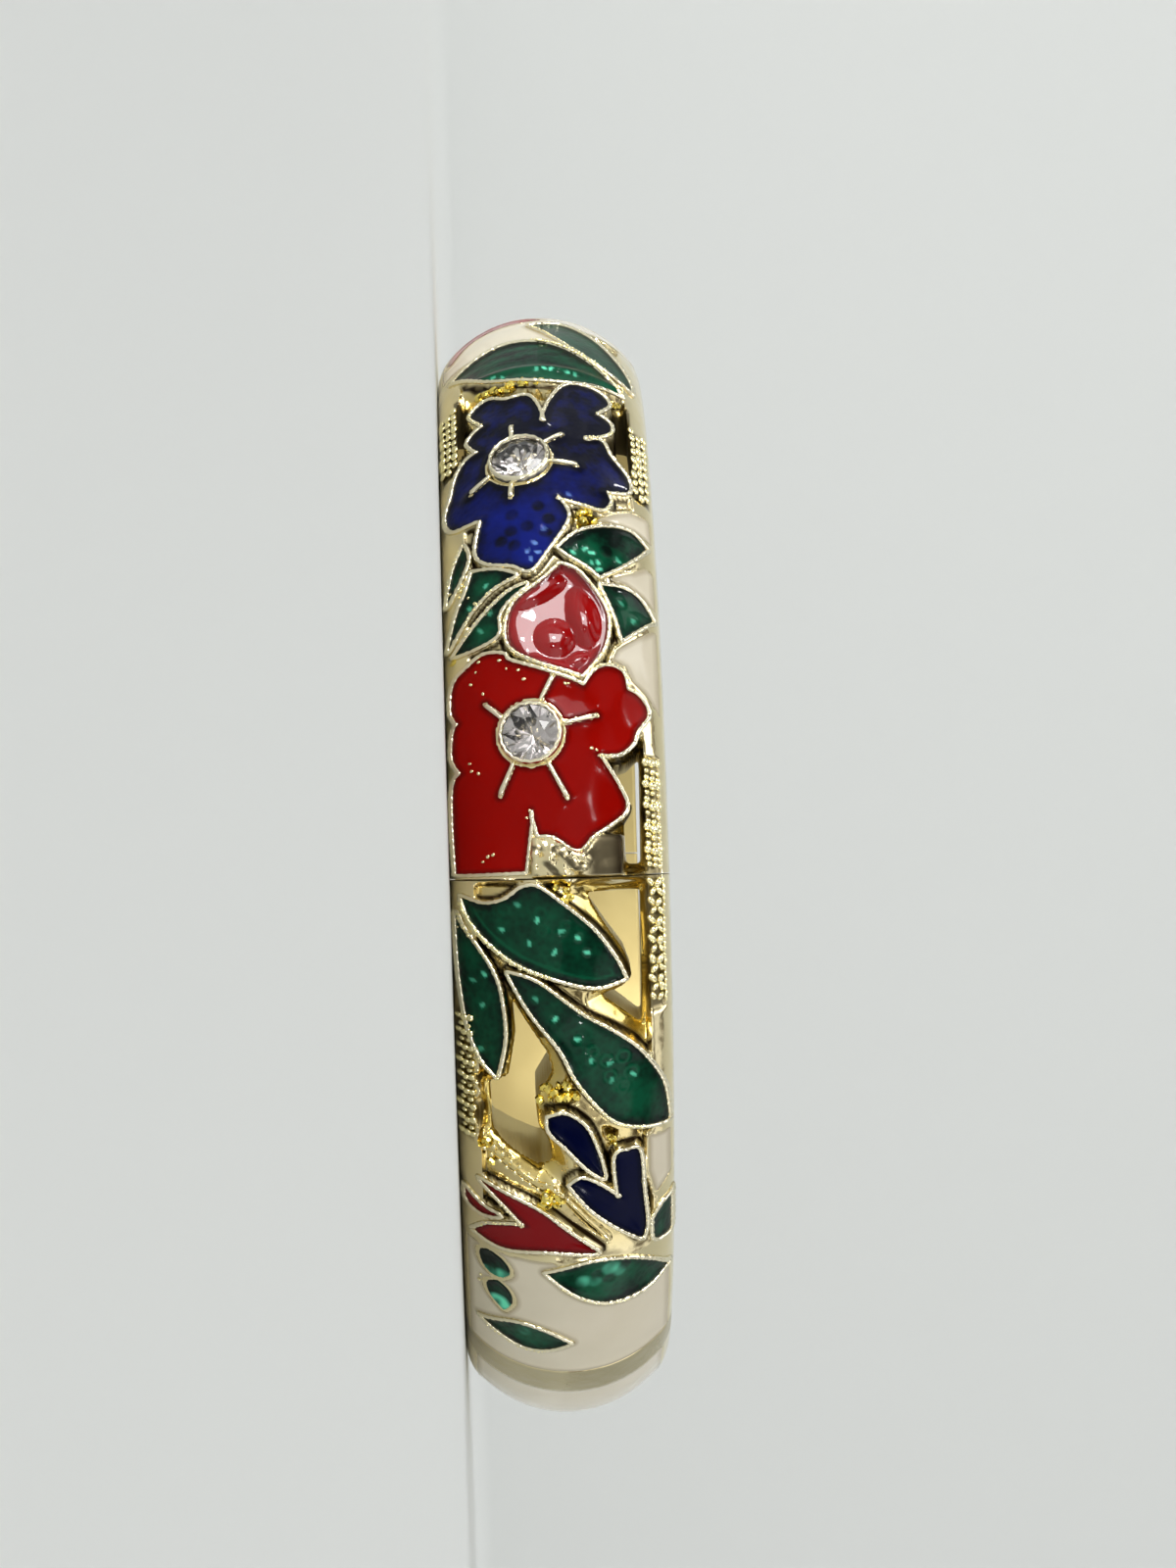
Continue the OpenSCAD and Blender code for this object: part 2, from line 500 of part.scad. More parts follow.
// The room that the tongue takes on one side of the seam, with spare room round it
module tongue_box(side, spare) {
    reach = tongue_reach + spare;
    translate([side < 0 ? -reach : 0, tongue_y - tongue_thickness / 2 - spare,
        half_width + tongue_w - tongue_width / 2 - spare])
        cube([reach, tongue_thickness + 2 * spare, tongue_width + 2 * spare]);
}
module clasp_tongue() {
    color(gold) union() {
        tongue_box(-1, 0);
        tongue_box(1, 0);
    }
}
module blue_flower_enamel() {
    color(blue_enamel) fill(outline_points(blue_flower)) flower_centre(blue_flower_centre, blue_rays, fill_gap);
}
module red_flower_enamel() {
    color(red_enamel) fill(outline_points(red_flower)) flower_centre(red_flower_centre, red_rays, fill_gap);
}
module blue_flower_stone() stone(blue_flower_centre);
module red_flower_stone() stone(red_flower_centre);
module top_white_enamel() {
    color(white_enamel) field_fill(top_field, top_leaves);
}
module lower_white_enamel() {
    color(white_enamel) field_fill(lower_field, lower_leaves);
}
module flower_back_enamel() {
    color(white_enamel) back_fill(-1, top_back_start);
}
module leaf_back_enamel() {
    color(white_enamel) back_fill(1, lower_back_start);
}

flower_half_casting();
leaf_half_casting();
hinge_pin();
clasp_tongue();
blue_flower_enamel();
red_flower_enamel();
blue_flower_stone();
red_flower_stone();
top_white_enamel();
lower_white_enamel();
flower_back_enamel();
leaf_back_enamel();
for (cell = green_leaves)
    color(green_enamel) fill(outline_points(cell[1]));
for (cell = red_cells)
    color(crimson_enamel) fill(outline_points(cell[1]));
for (cell = blue_cells)
    color(blue_enamel) fill(outline_points(cell[1]));
for (cell = white_cells)
    color(white_enamel) fill(cell[1]);
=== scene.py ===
# Hinged enamel bangle: the looks of the two gilt castings, the enamel, the stones and the beaded rails.
# Lengths in the dictionaries are millimetres. Places on the band are [s, w]: s along the crown line from the
# clasp, positive on the leaf half, and w across the band from its middle.
import json

import bpy
import numpy as np
from mathutils import Matrix, Vector


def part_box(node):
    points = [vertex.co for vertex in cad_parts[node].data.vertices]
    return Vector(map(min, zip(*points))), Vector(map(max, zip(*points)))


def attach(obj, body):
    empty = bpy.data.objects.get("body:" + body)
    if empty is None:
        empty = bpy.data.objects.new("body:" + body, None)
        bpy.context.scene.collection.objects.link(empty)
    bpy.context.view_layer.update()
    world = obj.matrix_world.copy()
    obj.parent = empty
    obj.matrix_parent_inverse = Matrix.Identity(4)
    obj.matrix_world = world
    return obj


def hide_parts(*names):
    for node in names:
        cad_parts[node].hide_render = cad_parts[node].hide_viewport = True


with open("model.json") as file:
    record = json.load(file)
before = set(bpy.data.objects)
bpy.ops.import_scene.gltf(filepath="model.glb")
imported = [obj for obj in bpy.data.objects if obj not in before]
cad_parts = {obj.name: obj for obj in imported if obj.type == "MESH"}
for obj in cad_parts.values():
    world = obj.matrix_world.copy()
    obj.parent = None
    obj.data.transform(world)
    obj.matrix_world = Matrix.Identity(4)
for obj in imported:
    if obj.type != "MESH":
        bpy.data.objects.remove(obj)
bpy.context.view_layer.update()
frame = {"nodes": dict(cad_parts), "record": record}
halfOf = {node: half for half, nodes in frame["record"]["behaviour"]["bodies"].items() for node in nodes}
print("frame loaded")

mm = 0.001
band = {
    "innerLength": 60.0,
    "innerWidth": 50.4,
    "width": 13.0,
    "thickness": 5.5,
    "sideWall": 0.8,
    "shoulderRadius": 3.2,
    "innerEdge": 0.2,     # rounding of the two inner edges
    "seamGap": 0.1,
}

# The crown line is an oval of four arcs, whose centres stand on a 3-4-5 triangle with the middle
ovalStep = (band["innerLength"] - band["innerWidth"]) / 4
endX, sideY = 4 * ovalStep, 3 * ovalStep
endRadius = band["innerLength"] / 2 + band["thickness"] - endX
sideRadius = endRadius + 5 * ovalStep
joinAngle = np.arctan2(endX, sideY)
joinS = sideRadius * joinAngle
backS = joinS + endRadius * (np.pi - 2 * joinAngle)
halfS = backS + joinS
crownY = sideRadius - sideY

# The dome across the band is a wide middle arc between two shoulder arcs
halfWidth = band["width"] / 2
rise = band["thickness"] - band["sideWall"]
shoulderW = halfWidth - band["shoulderRadius"]
riseOver = rise - band["shoulderRadius"]
middleRadius = rise + (shoulderW ** 2 - riseOver ** 2) / (2 * riseOver)
shoulderAngle = np.arctan2(shoulderW, middleRadius - rise)
shoulderJoin = middleRadius * np.sin(shoulderAngle)


# Angle along the arcs grows with s; returns the crown point x, y and the outward normal x, y
def crownLine(s):
    t, side = np.abs(s), np.where(s < 0, -1.0, 1.0)
    onFront, onBack = t < joinS, t > backS
    angle = np.where(onFront, t / sideRadius, joinAngle + (t - joinS) / endRadius)
    angle = np.where(onBack, np.pi - joinAngle + (t - backS) / sideRadius, angle)
    radius = np.where(onFront | onBack, sideRadius, endRadius)
    x = np.where(onFront | onBack, 0, endX) + radius * np.sin(angle)
    y = np.where(onFront, sideY, np.where(onBack, -sideY, 0)) - radius * np.cos(angle)
    return side * x, y, side * np.sin(angle), -np.cos(angle)


# Height below the crown on the three arcs of the dome, with the normal across and outwards
def dome(w):
    a = np.abs(w)
    wide = a < shoulderJoin
    up = np.sqrt(np.maximum(middleRadius ** 2 - a ** 2, 0))
    upSide = np.sqrt(np.maximum(band["shoulderRadius"] ** 2 - (a - shoulderW) ** 2, 0))
    z = np.where(wide, up - middleRadius, upSide - rise)
    across = np.where(wide, a / middleRadius, (a - shoulderW) / band["shoulderRadius"]) * np.sign(w)
    return z, across, np.where(wide, up / middleRadius, upSide / band["shoulderRadius"])


# Point of the band: lift moves it along the dome's normal, sink straight in towards the wrist
def bandPoint(s, w, lift=0.0, sink=0.0):
    x, y, nx, ny = crownLine(s)
    z, across, out = dome(w)
    k = z + lift * out - sink
    return np.stack([x + nx * k, y + ny * k, halfWidth + w + lift * across + 0 * x], -1)


# Outlines of the coloured cells. Each is a list of stretches that end at a corner, and a stretch starts at
# the corner where the one before it ends.
outlines = {
    "blue_flower": [[[-32.1, -0.4], [-33.3, -1.0], [-33.3, -2.3], [-33.9, -3.4], [-33.2, -4.4],
        [-31.5, -3.6]], [[-31.1, -4.3], [-30.5, -4.6], [-29.2, -4.0]], [[-29.0, -4.8], [-28.1, -5.4],
        [-26.8, -5.7], [-25.4, -6.1], [-23.8, -5.6], [-23.5, -3.9]], [[-21.2, -4.3], [-20.1, -3.7],
        [-19.5, -2.2], [-19.0, -1.2], [-20.3, -0.2], [-21.9, 0.8], [-23.0, 1.1], [-24.2, 0.5]],
        [[-23.8, 2.0], [-23.7, 3.2], [-24.5, 3.7], [-25.2, 3.5]], [[-25.9, 4.8], [-27.1, 4.9], [-28.4, 3.9],
        [-29.5, 3.4], [-29.3, 2.4]], [[-30.5, 3.8], [-31.6, 4.0], [-32.1, 3.1]], [[-33.7, 4.0],
        [-34.6, 3.3], [-34.5, 1.6], [-32.7, 0.5], [-30.6, -0.1]]],
    "red_flower": [[[-12.3, 2.4], [-12.7, 3.2], [-12.4, 4.0], [-11.4, 4.2]], [[-11.0, 5.0], [-10.1, 5.4],
        [-8.9, 4.7], [-8.1, 4.4], [-7.4, 3.6], [-7.3, 2.3]], [[-5.5, 3.4], [-4.1, 3.9], [-3.2, 3.0],
        [-2.5, 1.9], [-1.7, 1.0], [-2.5, -0.3], [-2.6, -1.2]], [[-4.1, -1.6]], [[-0.5, -2.1]],
        [[-0.4, -6.1]], [[-3.5, -6.2], [-6.0, -6.1], [-6.7, -5.6]], [[-7.8, -6.1], [-9.4, -6.0],
        [-9.9, -5.7]], [[-10.9, -6.1], [-12.6, -5.9], [-13.4, -4.9], [-13.8, -4.1], [-13.6, -3.0],
        [-13.1, -2.6], [-12.3, -0.7], [-11.7, 0.9], [-11.3, 1.7]]],
    "leaf_a": [[[-40.6, -2.8], [-40.4, -0.7], [-39.5, 1.2], [-37.6, 3.4], [-35.7, 4.9]], [[-35.3, 3.3],
        [-34.9, 1.1], [-35.3, -1.3], [-36.4, -3.4], [-39.7, -5.5]]],
    "leaf_b": [[[-42.8, 0.1], [-40.0, 1.8], [-38.2, 3.8], [-37.4, 5.6]], [[-39.0, 5.5], [-40.8, 4.8],
        [-43.2, 3.2], [-44.6, 1.4], [-44.2, -0.5]]],
    "leaf_c": [[[-21.5, 1.7], [-22.3, 3.4], [-22.6, 4.9], [-22.0, 5.8]], [[-21.0, 5.2], [-19.7, 4.1],
        [-18.7, 2.9]], [[-19.3, 2.2], [-19.9, 1.2], [-20.4, 0.6]]],
    "leaf_d": [[[-18.1, 4.4], [-17.7, 5.3], [-16.7, 6.0]], [[-15.6, 5.0], [-14.7, 4.1]], [[-16.0, 3.8],
        [-17.1, 3.4], [-18.0, 3.0]]],
    "leaf_e": [[[-20.4, -5.8], [-18.3, -6.2]], [[-19.4, -5.5], [-20.8, -4.9], [-22.0, -5.1]]],
    "leaf_f": [[[-18.5, -5.0], [-17.2, -5.6], [-15.0, -6.2]], [[-16.2, -5.4], [-17.3, -4.5], [-18.2, -3.4],
        [-18.7, -2.1]], [[-19.3, -3.2], [-19.7, -4.6]]],
    "leaf_g": [[[-17.6, -2.5], [-16.6, -3.8], [-15.5, -4.9], [-14.5, -5.8]], [[-14.5, -4.6], [-15.0, -3.3],
        [-16.2, -3.2], [-17.1, -2.6], [-18.0, -1.4]]],
    "leaf_h": [[[1.5, -4.6], [1.3, -3.4], [0.6, -2.4]], [[0.5, -1.5], [1.5, -0.1], [3.1, 1.7], [4.8, 2.9],
        [6.1, 3.5]], [[6.4, 1.9], [5.9, -0.2], [4.9, -2.7], [3.6, -4.4], [2.3, -5.4], [1.1, -5.8]]],
    "leaf_i": [[[2.9, -5.9], [4.4, -4.9], [5.6, -4.2], [6.9, -3.8], [9.5, -3.6], [12.1, -4.1]],
        [[11.2, -4.9], [9.4, -5.6], [6.8, -6.0], [4.6, -6.15], [2.0, -6.2]]],
    "leaf_j": [[[6.2, -1.5], [8.1, 0.9], [9.4, 2.8], [11.0, 4.4], [13.5, 5.7], [16.4, 6.1]], [[15.9, 4.6],
        [15.1, 3.0], [13.9, 1.9], [12.0, 0.6], [10.1, -0.3], [7.8, -2.0], [5.6, -3.2]]],
    "leaf_m": [[[22.6, 5.7], [22.5, 6.2]], [[25.6, 6.2]], [[25.1, 5.2], [23.3, 5.1]]],
    "leaf_n": [[[25.2, 1.2], [25.6, 3.3], [26.9, 4.9], [28.6, 6.0]], [[29.2, 4.6], [29.1, 2.9], [28.6, 1.5],
        [27.6, 0.1], [26.0, -1.4]]],
    "leaf_o": [[[25.9, -4.1], [26.7, -3.7], [27.4, -4.1], [27.5, -4.8], [26.9, -5.3], [26.0, -5.4],
        [25.5, -4.9]]],
    "leaf_o_tip": [[[28.5, -3.8], [29.5, -3.6], [30.6, -4.1]], [[29.6, -4.9], [28.6, -5.0], [28.0, -4.4]]],
    "leaf_p": [[[31.4, -3.4], [31.6, -1.6], [32.7, -0.1]], [[33.5, -1.5], [33.7, -3.1], [32.8, -5.4]]],
    "red_bud": [[[-18.2, -0.4], [-17.0, -2.0], [-15.8, -2.6], [-14.4, -2.6], [-13.6, -2.0]], [[-12.9, -0.7],
        [-12.4, 0.8], [-12.1, 1.6]], [[-13.7, 2.8], [-15.2, 3.2], [-16.4, 3.1], [-17.7, 2.4], [-18.8, 1.5],
        [-19.2, 0.6]]],
    "top_petal": [[[-45.8, -4.6], [-46.2, -3.4], [-46.1, -2.2], [-46.2, -1.0], [-46.8, 0.2]],
        [[-48.0, -0.6], [-48.9, -2.0], [-49.2, -3.8], [-48.3, -5.3], [-46.4, -5.8], [-44.4, -5.6]]],
    "red_spray": [[[20.9, -2.1], [22.5, -0.2], [24.4, 1.7]], [[24.1, -1.4], [24.6, -4.1], [24.4, -5.7]],
        [[23.3, -4.9], [22.6, -3.6], [22.4, -2.6]], [[21.2, -3.7], [19.8, -5.3]]],
    "red_sliver": [[[21.9, -5.1], [22.1, -4.1]], [[22.5, -5.2], [22.2, -6.1], [21.3, -6.1]]],
    "blue_petal": [[[14.3, -0.1], [15.2, 1.0], [17.0, 1.7], [18.8, 2.1]], [[18.0, 1.2], [16.4, -0.1],
        [15.4, -1.0], [14.5, -1.1]]],
    "blue_spray": [[[18.7, 0.8], [19.4, 1.9], [20.6, 3.0]], [[17.6, 2.8], [17.3, 3.5], [17.7, 4.2],
        [20.7, 4.4], [23.3, 4.6], [24.4, 4.4]], [[22.5, 2.7], [20.9, 1.3], [19.1, 0.1]]],
}
# White cells, plain polygons
fields = {
    "top_white": [[-41.6, -6.1], [-39.0, 0], [-40.5, 2.5], [-41.2, 3.9], [-43.0, 3.0], [-44.8, 3.2],
        [-45.6, 6.1], [-49.9, 6.1], [-49.9, -6.1]],
    "lower_white": [[25.5, -6.1], [25.2, -3.0], [25.2, -1.0], [26.6, 0.8], [27.4, 3.6], [28.8, 5.5],
        [29.3, 6.1], [36.2, 6.1], [36.2, -6.1]],
    "shoulder_white": [[-22.8, 3.1], [-23.5, 3.9], [-24.2, 4.9], [-24.6, 6.1], [-22.8, 6.2], [-23.0, 5.2],
        [-22.9, 4.2]],
    "middle_white": [[-18.6, 3.6], [-19.5, 4.9], [-20.4, 5.8], [-20.3, 6.2], [-17.6, 6.2], [-18.2, 5.5],
        [-18.6, 4.5]],
    "flank_white": [[-13.9, 3.8], [-15.0, 5.1], [-16.0, 6.2], [-10.3, 6.2], [-11.5, 5.4], [-12.0, 4.7],
        [-12.9, 4.3], [-13.2, 3.5]],
    "side_white": [[16.9, 4.9], [17.3, 6.2], [20.6, 6.2], [21.3, 5.3], [19.5, 4.9]],
}
# Through holes of the openwork, and blind recesses between the cells
holes = [
    [[-36.2, -5.3], [-36.0, -4.6], [-34.6, -4.8], [-33.3, -4.95], [-32.1, -4.5], [-31.4, -4.75],
        [-30.6, -5.05], [-29.9, -5.1], [-29.6, -5.4]],
    [[-34.9, 4.1], [-34.5, 5.2], [-28.0, 5.3], [-27.9, 4.8], [-28.8, 4.35], [-29.7, 3.9], [-30.1, 3.9],
        [-30.8, 4.4], [-31.8, 4.45], [-32.3, 4.0], [-33.7, 4.5]],
    [[-7.9, 4.9], [-7.0, 4.1], [-6.7, 3.1], [-5.4, 3.9], [-4.2, 4.4], [-3.2, 3.8], [-0.7, 3.9], [-0.7, 4.8]],
    [[0.9, 1.4], [0.9, 4.7], [9.6, 4.6], [8.5, 3.5], [7.3, 2.2], [7.0, 3.4], [6.4, 4.1], [4.7, 3.6],
        [2.9, 2.5]],
    [[7.4, -3.1], [9.0, -2.2], [10.8, -1.1], [12.0, -0.8], [13.2, -1.4], [14.0, -1.8], [15.6, -1.7],
        [16.8, -1.1], [18.2, -0.9], [18.6, -1.6], [17.6, -3.2], [16.6, -4.4], [13.2, -4.5], [12.6, -3.4],
        [9.6, -2.9]],
    [[12.3, -5.1], [12.8, -4.8], [13.2, -5.1], [12.8, -5.4]],
    [[13.9, -5.15], [15.0, -4.85], [16.4, -5.05], [16.0, -5.4], [14.6, -5.5]],
]
recesses = [
    [[-35.7, -4.0], [-35.5, -3.0], [-34.7, -1.2], [-34.3, 0.3], [-33.2, 0.1], [-33.8, -1.0], [-34.4, -3.2]],
    [[-23.3, 1.9], [-23.0, 4.0], [-22.8, 3.2], [-22.2, 1.9]],
    [[12.3, -0.3], [13.0, 0.7], [13.9, 0.6], [13.9, -0.9]],
    [[15.4, 1.9], [16.0, 3.1], [16.8, 3.0], [16.6, 2.2]],
]
leavesInField = {"top_white": ["leaf_a", "leaf_b", "top_petal"],
    "lower_white": ["leaf_n", "leaf_o", "leaf_o_tip", "leaf_p"]}
flowers = {
    "blue_flower": {
        "centre": [-27.4, -1.6],
        "rays": [[[-29.2, -2.0], [-30.6, -2.0]], [[-28.6, -0.2], [-29.5, 1.1]], [[-27.1, 0.2], [-26.9, 1.9]],
            [[-25.8, -2.1], [-24.5, -2.2]], [[-26.7, -3.3], [-25.9, -4.6]]],
    },
    "red_flower": {
        "centre": [-8.6, -1.5],
        "rays": [[[-10.5, -0.9], [-12.0, -0.1]], [[-9.1, 0.4], [-9.6, 2.4]], [[-6.9, -0.6], [-4.7, 0.5]],
            [[-7.0, -2.5], [-5.0, -3.4]], [[-9.6, -3.1], [-10.7, -4.1]]],
    },
}
# Metal round a stone, under a ray, and round a leaf in white
cellEdge = {"seat": 2.12, "rayHalf": 0.2, "wall": 0.35}
# Plain cells of the rear: where each starts, half width, and the plain metal between its end and the hinge
backStart = {"flower_back": 51.5, "leaf_back": 39.4}
backHalf, hingePlain = 5.8, 5.4
backStop = halfS - hingePlain
cells = [*outlines, *fields, *backStart]
finishNames = {"blue_flower": "blue", "red_flower": "red", "top_petal": "red", "red_bud": "bud",
    "red_spray": "crimson", "red_sliver": "crimson", "blue_petal": "navy", "blue_spray": "navy"}


def finishOf(name):
    return finishNames.get(name, "green" if name in outlines else "white")


# Catmull-Rom curve through each stretch: t runs 0..1 from b to c, with a and d as neighbours
def roundedOutline(name, steps=6):
    points, corner = [], outlines[name][-1][-1]
    for stretch in outlines[name]:
        p = np.array([corner] + stretch, float)
        count = steps if len(p) > 2 else 4
        a, b, c, d = np.vstack([p[:1], p[:-2]]), p[:-1], p[1:], np.vstack([p[2:], p[-1:]])
        t = (np.arange(count) / count)[None, :, None]
        a, b, c, d = (q[:, None] for q in (a, b, c, d))
        curve = 0.5 * (2 * b + (c - a) * t + (2 * a - 5 * b + 4 * c - d) * t ** 2
                       + (3 * b - a - 3 * c + d) * t ** 3)
        points.append(curve.reshape(-1, 2))
        corner = stretch[-1]
    return np.vstack(points)


# Distance from each place to a segment: the offset from the nearest of its points
def segmentDistance(s, w, start, end):
    edge = np.subtract(end, start)
    ds, dw = s - start[0], w - start[1]
    t = np.clip((ds * edge[0] + dw * edge[1]) / (edge @ edge), 0, 1)
    return np.hypot(ds - t * edge[0], dw - t * edge[1])


# Signed distance to a closed outline, negative inside by the even-odd rule, clipped at reach
def outlineDistance(points, s, w, reach=1.6, batch=4000):
    points = np.array(points, float)
    out = np.full(np.broadcast(s, w).shape, float(reach))
    low, high = points.min(0) - reach, points.max(0) + reach
    near = (s > low[0]) & (s < high[0]) & (w > low[1]) & (w < high[1])
    edge = np.roll(points, -1, 0) - points
    length2 = np.maximum((edge ** 2).sum(1), 1e-12)
    sNear, wNear = s[near], w[near]
    found = [sNear[:0]]
    for k in range(0, len(sNear), batch):
        ds, dw = sNear[k:k + batch, None] - points[:, 0], wNear[k:k + batch, None] - points[:, 1]
        t = np.clip((ds * edge[:, 0] + dw * edge[:, 1]) / length2, 0, 1)
        dist = np.hypot(ds - t * edge[:, 0], dw - t * edge[:, 1]).min(1)
        crosses = (dw >= 0) != (dw - edge[:, 1] >= 0)
        at = ds - dw * edge[:, 0] / np.where(edge[:, 1] == 0, 1e-12, edge[:, 1])
        found.append(np.where((crosses & (at < 0)).sum(1) % 2 == 1, -dist, dist))
    out[near] = np.minimum(np.concatenate(found), reach)
    return out


# Smooth step from 0 at a to 1 at b
def ease(x, a, b):
    t = np.clip((x - a) / (b - a), 0, 1)
    return t * t * (3 - 2 * t)


# Smooth rise from a to b and fall from c to d
def plateau(x, a, b, c, d):
    return ease(x, a, b) * (1 - ease(x, c, d))


# Signed distance to a cell's edge, negative inside. A back cell is a rectangle with rounded outside distance,
# a flower leaves out its stone and rays, and a white field the leaves in it with their walls.
def cellDistance(name, s, w):
    if name in backStart:
        ds = np.maximum(backStart[name] - np.abs(s), np.abs(s) - backStop)
        dw = np.abs(w) - backHalf
        outside = np.hypot(np.maximum(ds, 0), np.maximum(dw, 0))
        return np.where((ds > 0) | (dw > 0), outside, np.maximum(ds, dw))
    d = outlineDistance(fields[name] if name in fields else roundedOutline(name), s, w)
    for leaf in leavesInField.get(name, []):
        d = np.maximum(d, cellEdge["wall"] - outlineDistance(roundedOutline(leaf), s, w))
    if name in flowers:
        centre = flowers[name]["centre"]
        d = np.maximum(d, cellEdge["seat"] - np.hypot(s - centre[0], w - centre[1]))
        for start, end in flowers[name]["rays"]:
            d = np.maximum(d, cellEdge["rayHalf"] - segmentDistance(s, w, start, end))
    return d


def makeMesh(name, points, faces, smooth=True, sharpDegrees=None, attributes=None):
    mesh = bpy.data.meshes.new(name)
    mesh.from_pydata((points * mm).tolist(), [], faces.tolist() if isinstance(faces, np.ndarray) else faces)
    mesh.polygons.foreach_set("use_smooth", np.full(len(mesh.polygons), smooth))
    for key, values in (attributes or {}).items():
        layer = mesh.attributes.new(key, "FLOAT", "POINT")
        layer.data.foreach_set("value", np.ascontiguousarray(values, np.float32))
    if sharpDegrees:
        mesh.set_sharp_from_angle(angle=np.radians(sharpDegrees))
    mesh.validate()
    piece = bpy.data.objects.new(name, mesh)
    bpy.context.scene.collection.objects.link(piece)
    return piece


# Numbers of the four corners of every square of a grid of points
def squareCorners(shape):
    index = np.arange(shape[0] * shape[1]).reshape(shape[:2])
    return np.stack([index[:-1, :-1], index[1:, :-1], index[1:, 1:], index[:-1, 1:]], -1)


# Start and end of every side of a kept square that has no kept square beyond it. The mode says what lies
# beyond the grid's border: "constant" for nothing, "edge" for more of the same.
def cutSides(keep, mode):
    a, b, c, d = np.moveaxis(squareCorners((keep.shape[0] + 1, keep.shape[1] + 1)), -1, 0)
    around = np.pad(keep, 1, mode=mode)
    sides = [(around[1:-1, :-2], a, b), (around[2:, 1:-1], b, c), (around[1:-1, 2:], c, d),
        (around[:-2, 1:-1], d, a)]
    cut = [(keep & ~beyond, start, end) for beyond, start, end in sides]
    return np.vstack([np.stack([start[bare], end[bare]], -1) for bare, start, end in cut])


# Closed sheet: the kept squares of a grid on top, the same squares turned over below, and a wall of
# quads wherever a kept square has no neighbour. Returns points, faces with the upper sheet's first, each
# point's grid index and whether it lies on the upper sheet.
def closedSheet(top, bottom, keep):
    squares, total = squareCorners(top.shape)[keep], top[..., 0].size
    p, q = cutSides(keep, "constant").T
    faces = np.vstack([squares, squares[:, [0, 3, 2, 1]] + total, np.stack([q, p, p + total, q + total], -1)])
    used, faces = np.unique(faces, return_inverse=True)
    points = np.vstack([top.reshape(-1, 3), bottom.reshape(-1, 3)])[used]
    return points, faces.reshape(-1, 4), used % total, used < total


# Moves the grid points round the kept squares onto the line where the distance is level
def snapToLine(s, w, distance, keep, level=0.0, most=0.13):
    padded = np.pad(keep, 1).astype(int)
    around = padded[:-1, :-1] + padded[1:, :-1] + padded[:-1, 1:] + padded[1:, 1:]
    edge = ((around > 0) & (around < 4))[1:-1, 1:-1]
    slopeS = (distance[2:, 1:-1] - distance[:-2, 1:-1]) / (s[2:, 1:-1] - s[:-2, 1:-1])
    slopeW = (distance[1:-1, 2:] - distance[1:-1, :-2]) / (w[1:-1, 2:] - w[1:-1, :-2])
    off = np.clip(distance[1:-1, 1:-1] - level, -most, most) / np.maximum(np.hypot(slopeS, slopeW), 0.5) ** 2
    s, w = s.copy(), w.copy()
    s[1:-1, 1:-1][edge] -= (off * slopeS)[edge]
    w[1:-1, 1:-1][edge] -= (off * slopeW)[edge]
    return s, w


# Evens out a cut's edge: each of its points moves towards the mean of its two neighbours along the cut
def evenCut(s, w, keep, passes=5):
    ends = cutSides(keep, "edge")
    ends = np.vstack([ends, ends[:, ::-1]])
    count = np.bincount(ends[:, 0], minlength=s.size)
    places = []
    for values in (s.ravel(), w.ravel()):
        for k in range(passes):
            mean = np.bincount(ends[:, 0], values[ends[:, 1]], s.size) / np.maximum(count, 1)
            values = np.where(count == 2, 0.5 * values + 0.5 * mean, values)
        places.append(values.reshape(s.shape))
    return places


# Columns across the dome at even steps of angle on each of the three arcs
def domeColumns(pitch, shoulderPitch):
    middle = int(np.ceil(2 * shoulderAngle * middleRadius / pitch))
    side = int(np.ceil((np.pi / 2 - shoulderAngle) * band["shoulderRadius"] / shoulderPitch))
    wide = middleRadius * np.sin(np.linspace(-shoulderAngle, shoulderAngle, middle + 1))
    edge = shoulderW + band["shoulderRadius"] * np.sin(np.linspace(shoulderAngle, np.pi / 2, side + 1))[1:]
    return np.concatenate([-edge[::-1], wide, edge])


# Rows from the start through each stretch's end at about its own step
def evenRows(start, stretches):
    rows = []
    for end, step in stretches:
        rows.append(np.linspace(start, end, int(np.ceil((end - start) / step)) + 1)[:-1])
        start = end
    return np.concatenate(rows + [[start]])


# Grid of places on one half, whose squares face outwards on both
def placesOn(half, rows, cols):
    s, w = np.meshgrid(-rows if half == "flower_half" else rows, cols, indexing="ij")
    return (s[::-1].copy(), w[::-1].copy()) if half == "flower_half" else (s, w)


# Smooth value noise on the chart: sums of waves with fixed seeded directions, about -1..1
def waves(s, w, size, seed, count=7):
    rng = np.random.default_rng(seed)
    turn, phase = rng.uniform(0, 2 * np.pi, count), rng.uniform(0, 2 * np.pi, count)
    scale = 2 * np.pi / (size * rng.uniform(0.8, 1.3, count))
    total = sum(np.sin(k * (s * np.cos(t) + w * np.sin(t)) + p) for k, t, p in zip(scale, turn, phase))
    return total / np.sqrt(count * 1.2)


casting = {
    "pitch": 0.14,
    "shoulderPitch": 0.3,
    "seatTop": -0.04,     # metal under the cell wires
    "wallSlope": 3.0,
    "cellFloor": 0.75,
    "ground": {"flower_half": 0.34, "leaf_half": 0.6},     # how far the ground between the cells lies down
    "holeFall": 0.75,     # how much further it slopes down to a hole
    "holeSlope": 1.1,     # over this distance
    "holeEdge": 0.18,
    "holeRounding": 0.22,
    "recessDepth": 1.5,
    "cupDepth": 1.4,      # seat of a stone inside its bezel
    "paintedDark": [0.24, 0.31, 0.44, 0.62],     # distances from a wire where its painted line of dark brown shade comes and goes
    "deepest": 1.3,       # sunk this far, the gold has its deep colour: painted reflection of gold on gold
    "holeShade": 0.8,     # painted shade in the holes by the blue flower, which lie past this s
    "holeShadeFrom": -27,
}
# The bar across the band between these s is coloured a darker brown
dividerBar = {"edges": [36.2, 36.5, 39.1, 39.4], "paintedShadeAndBrown": 0.4}
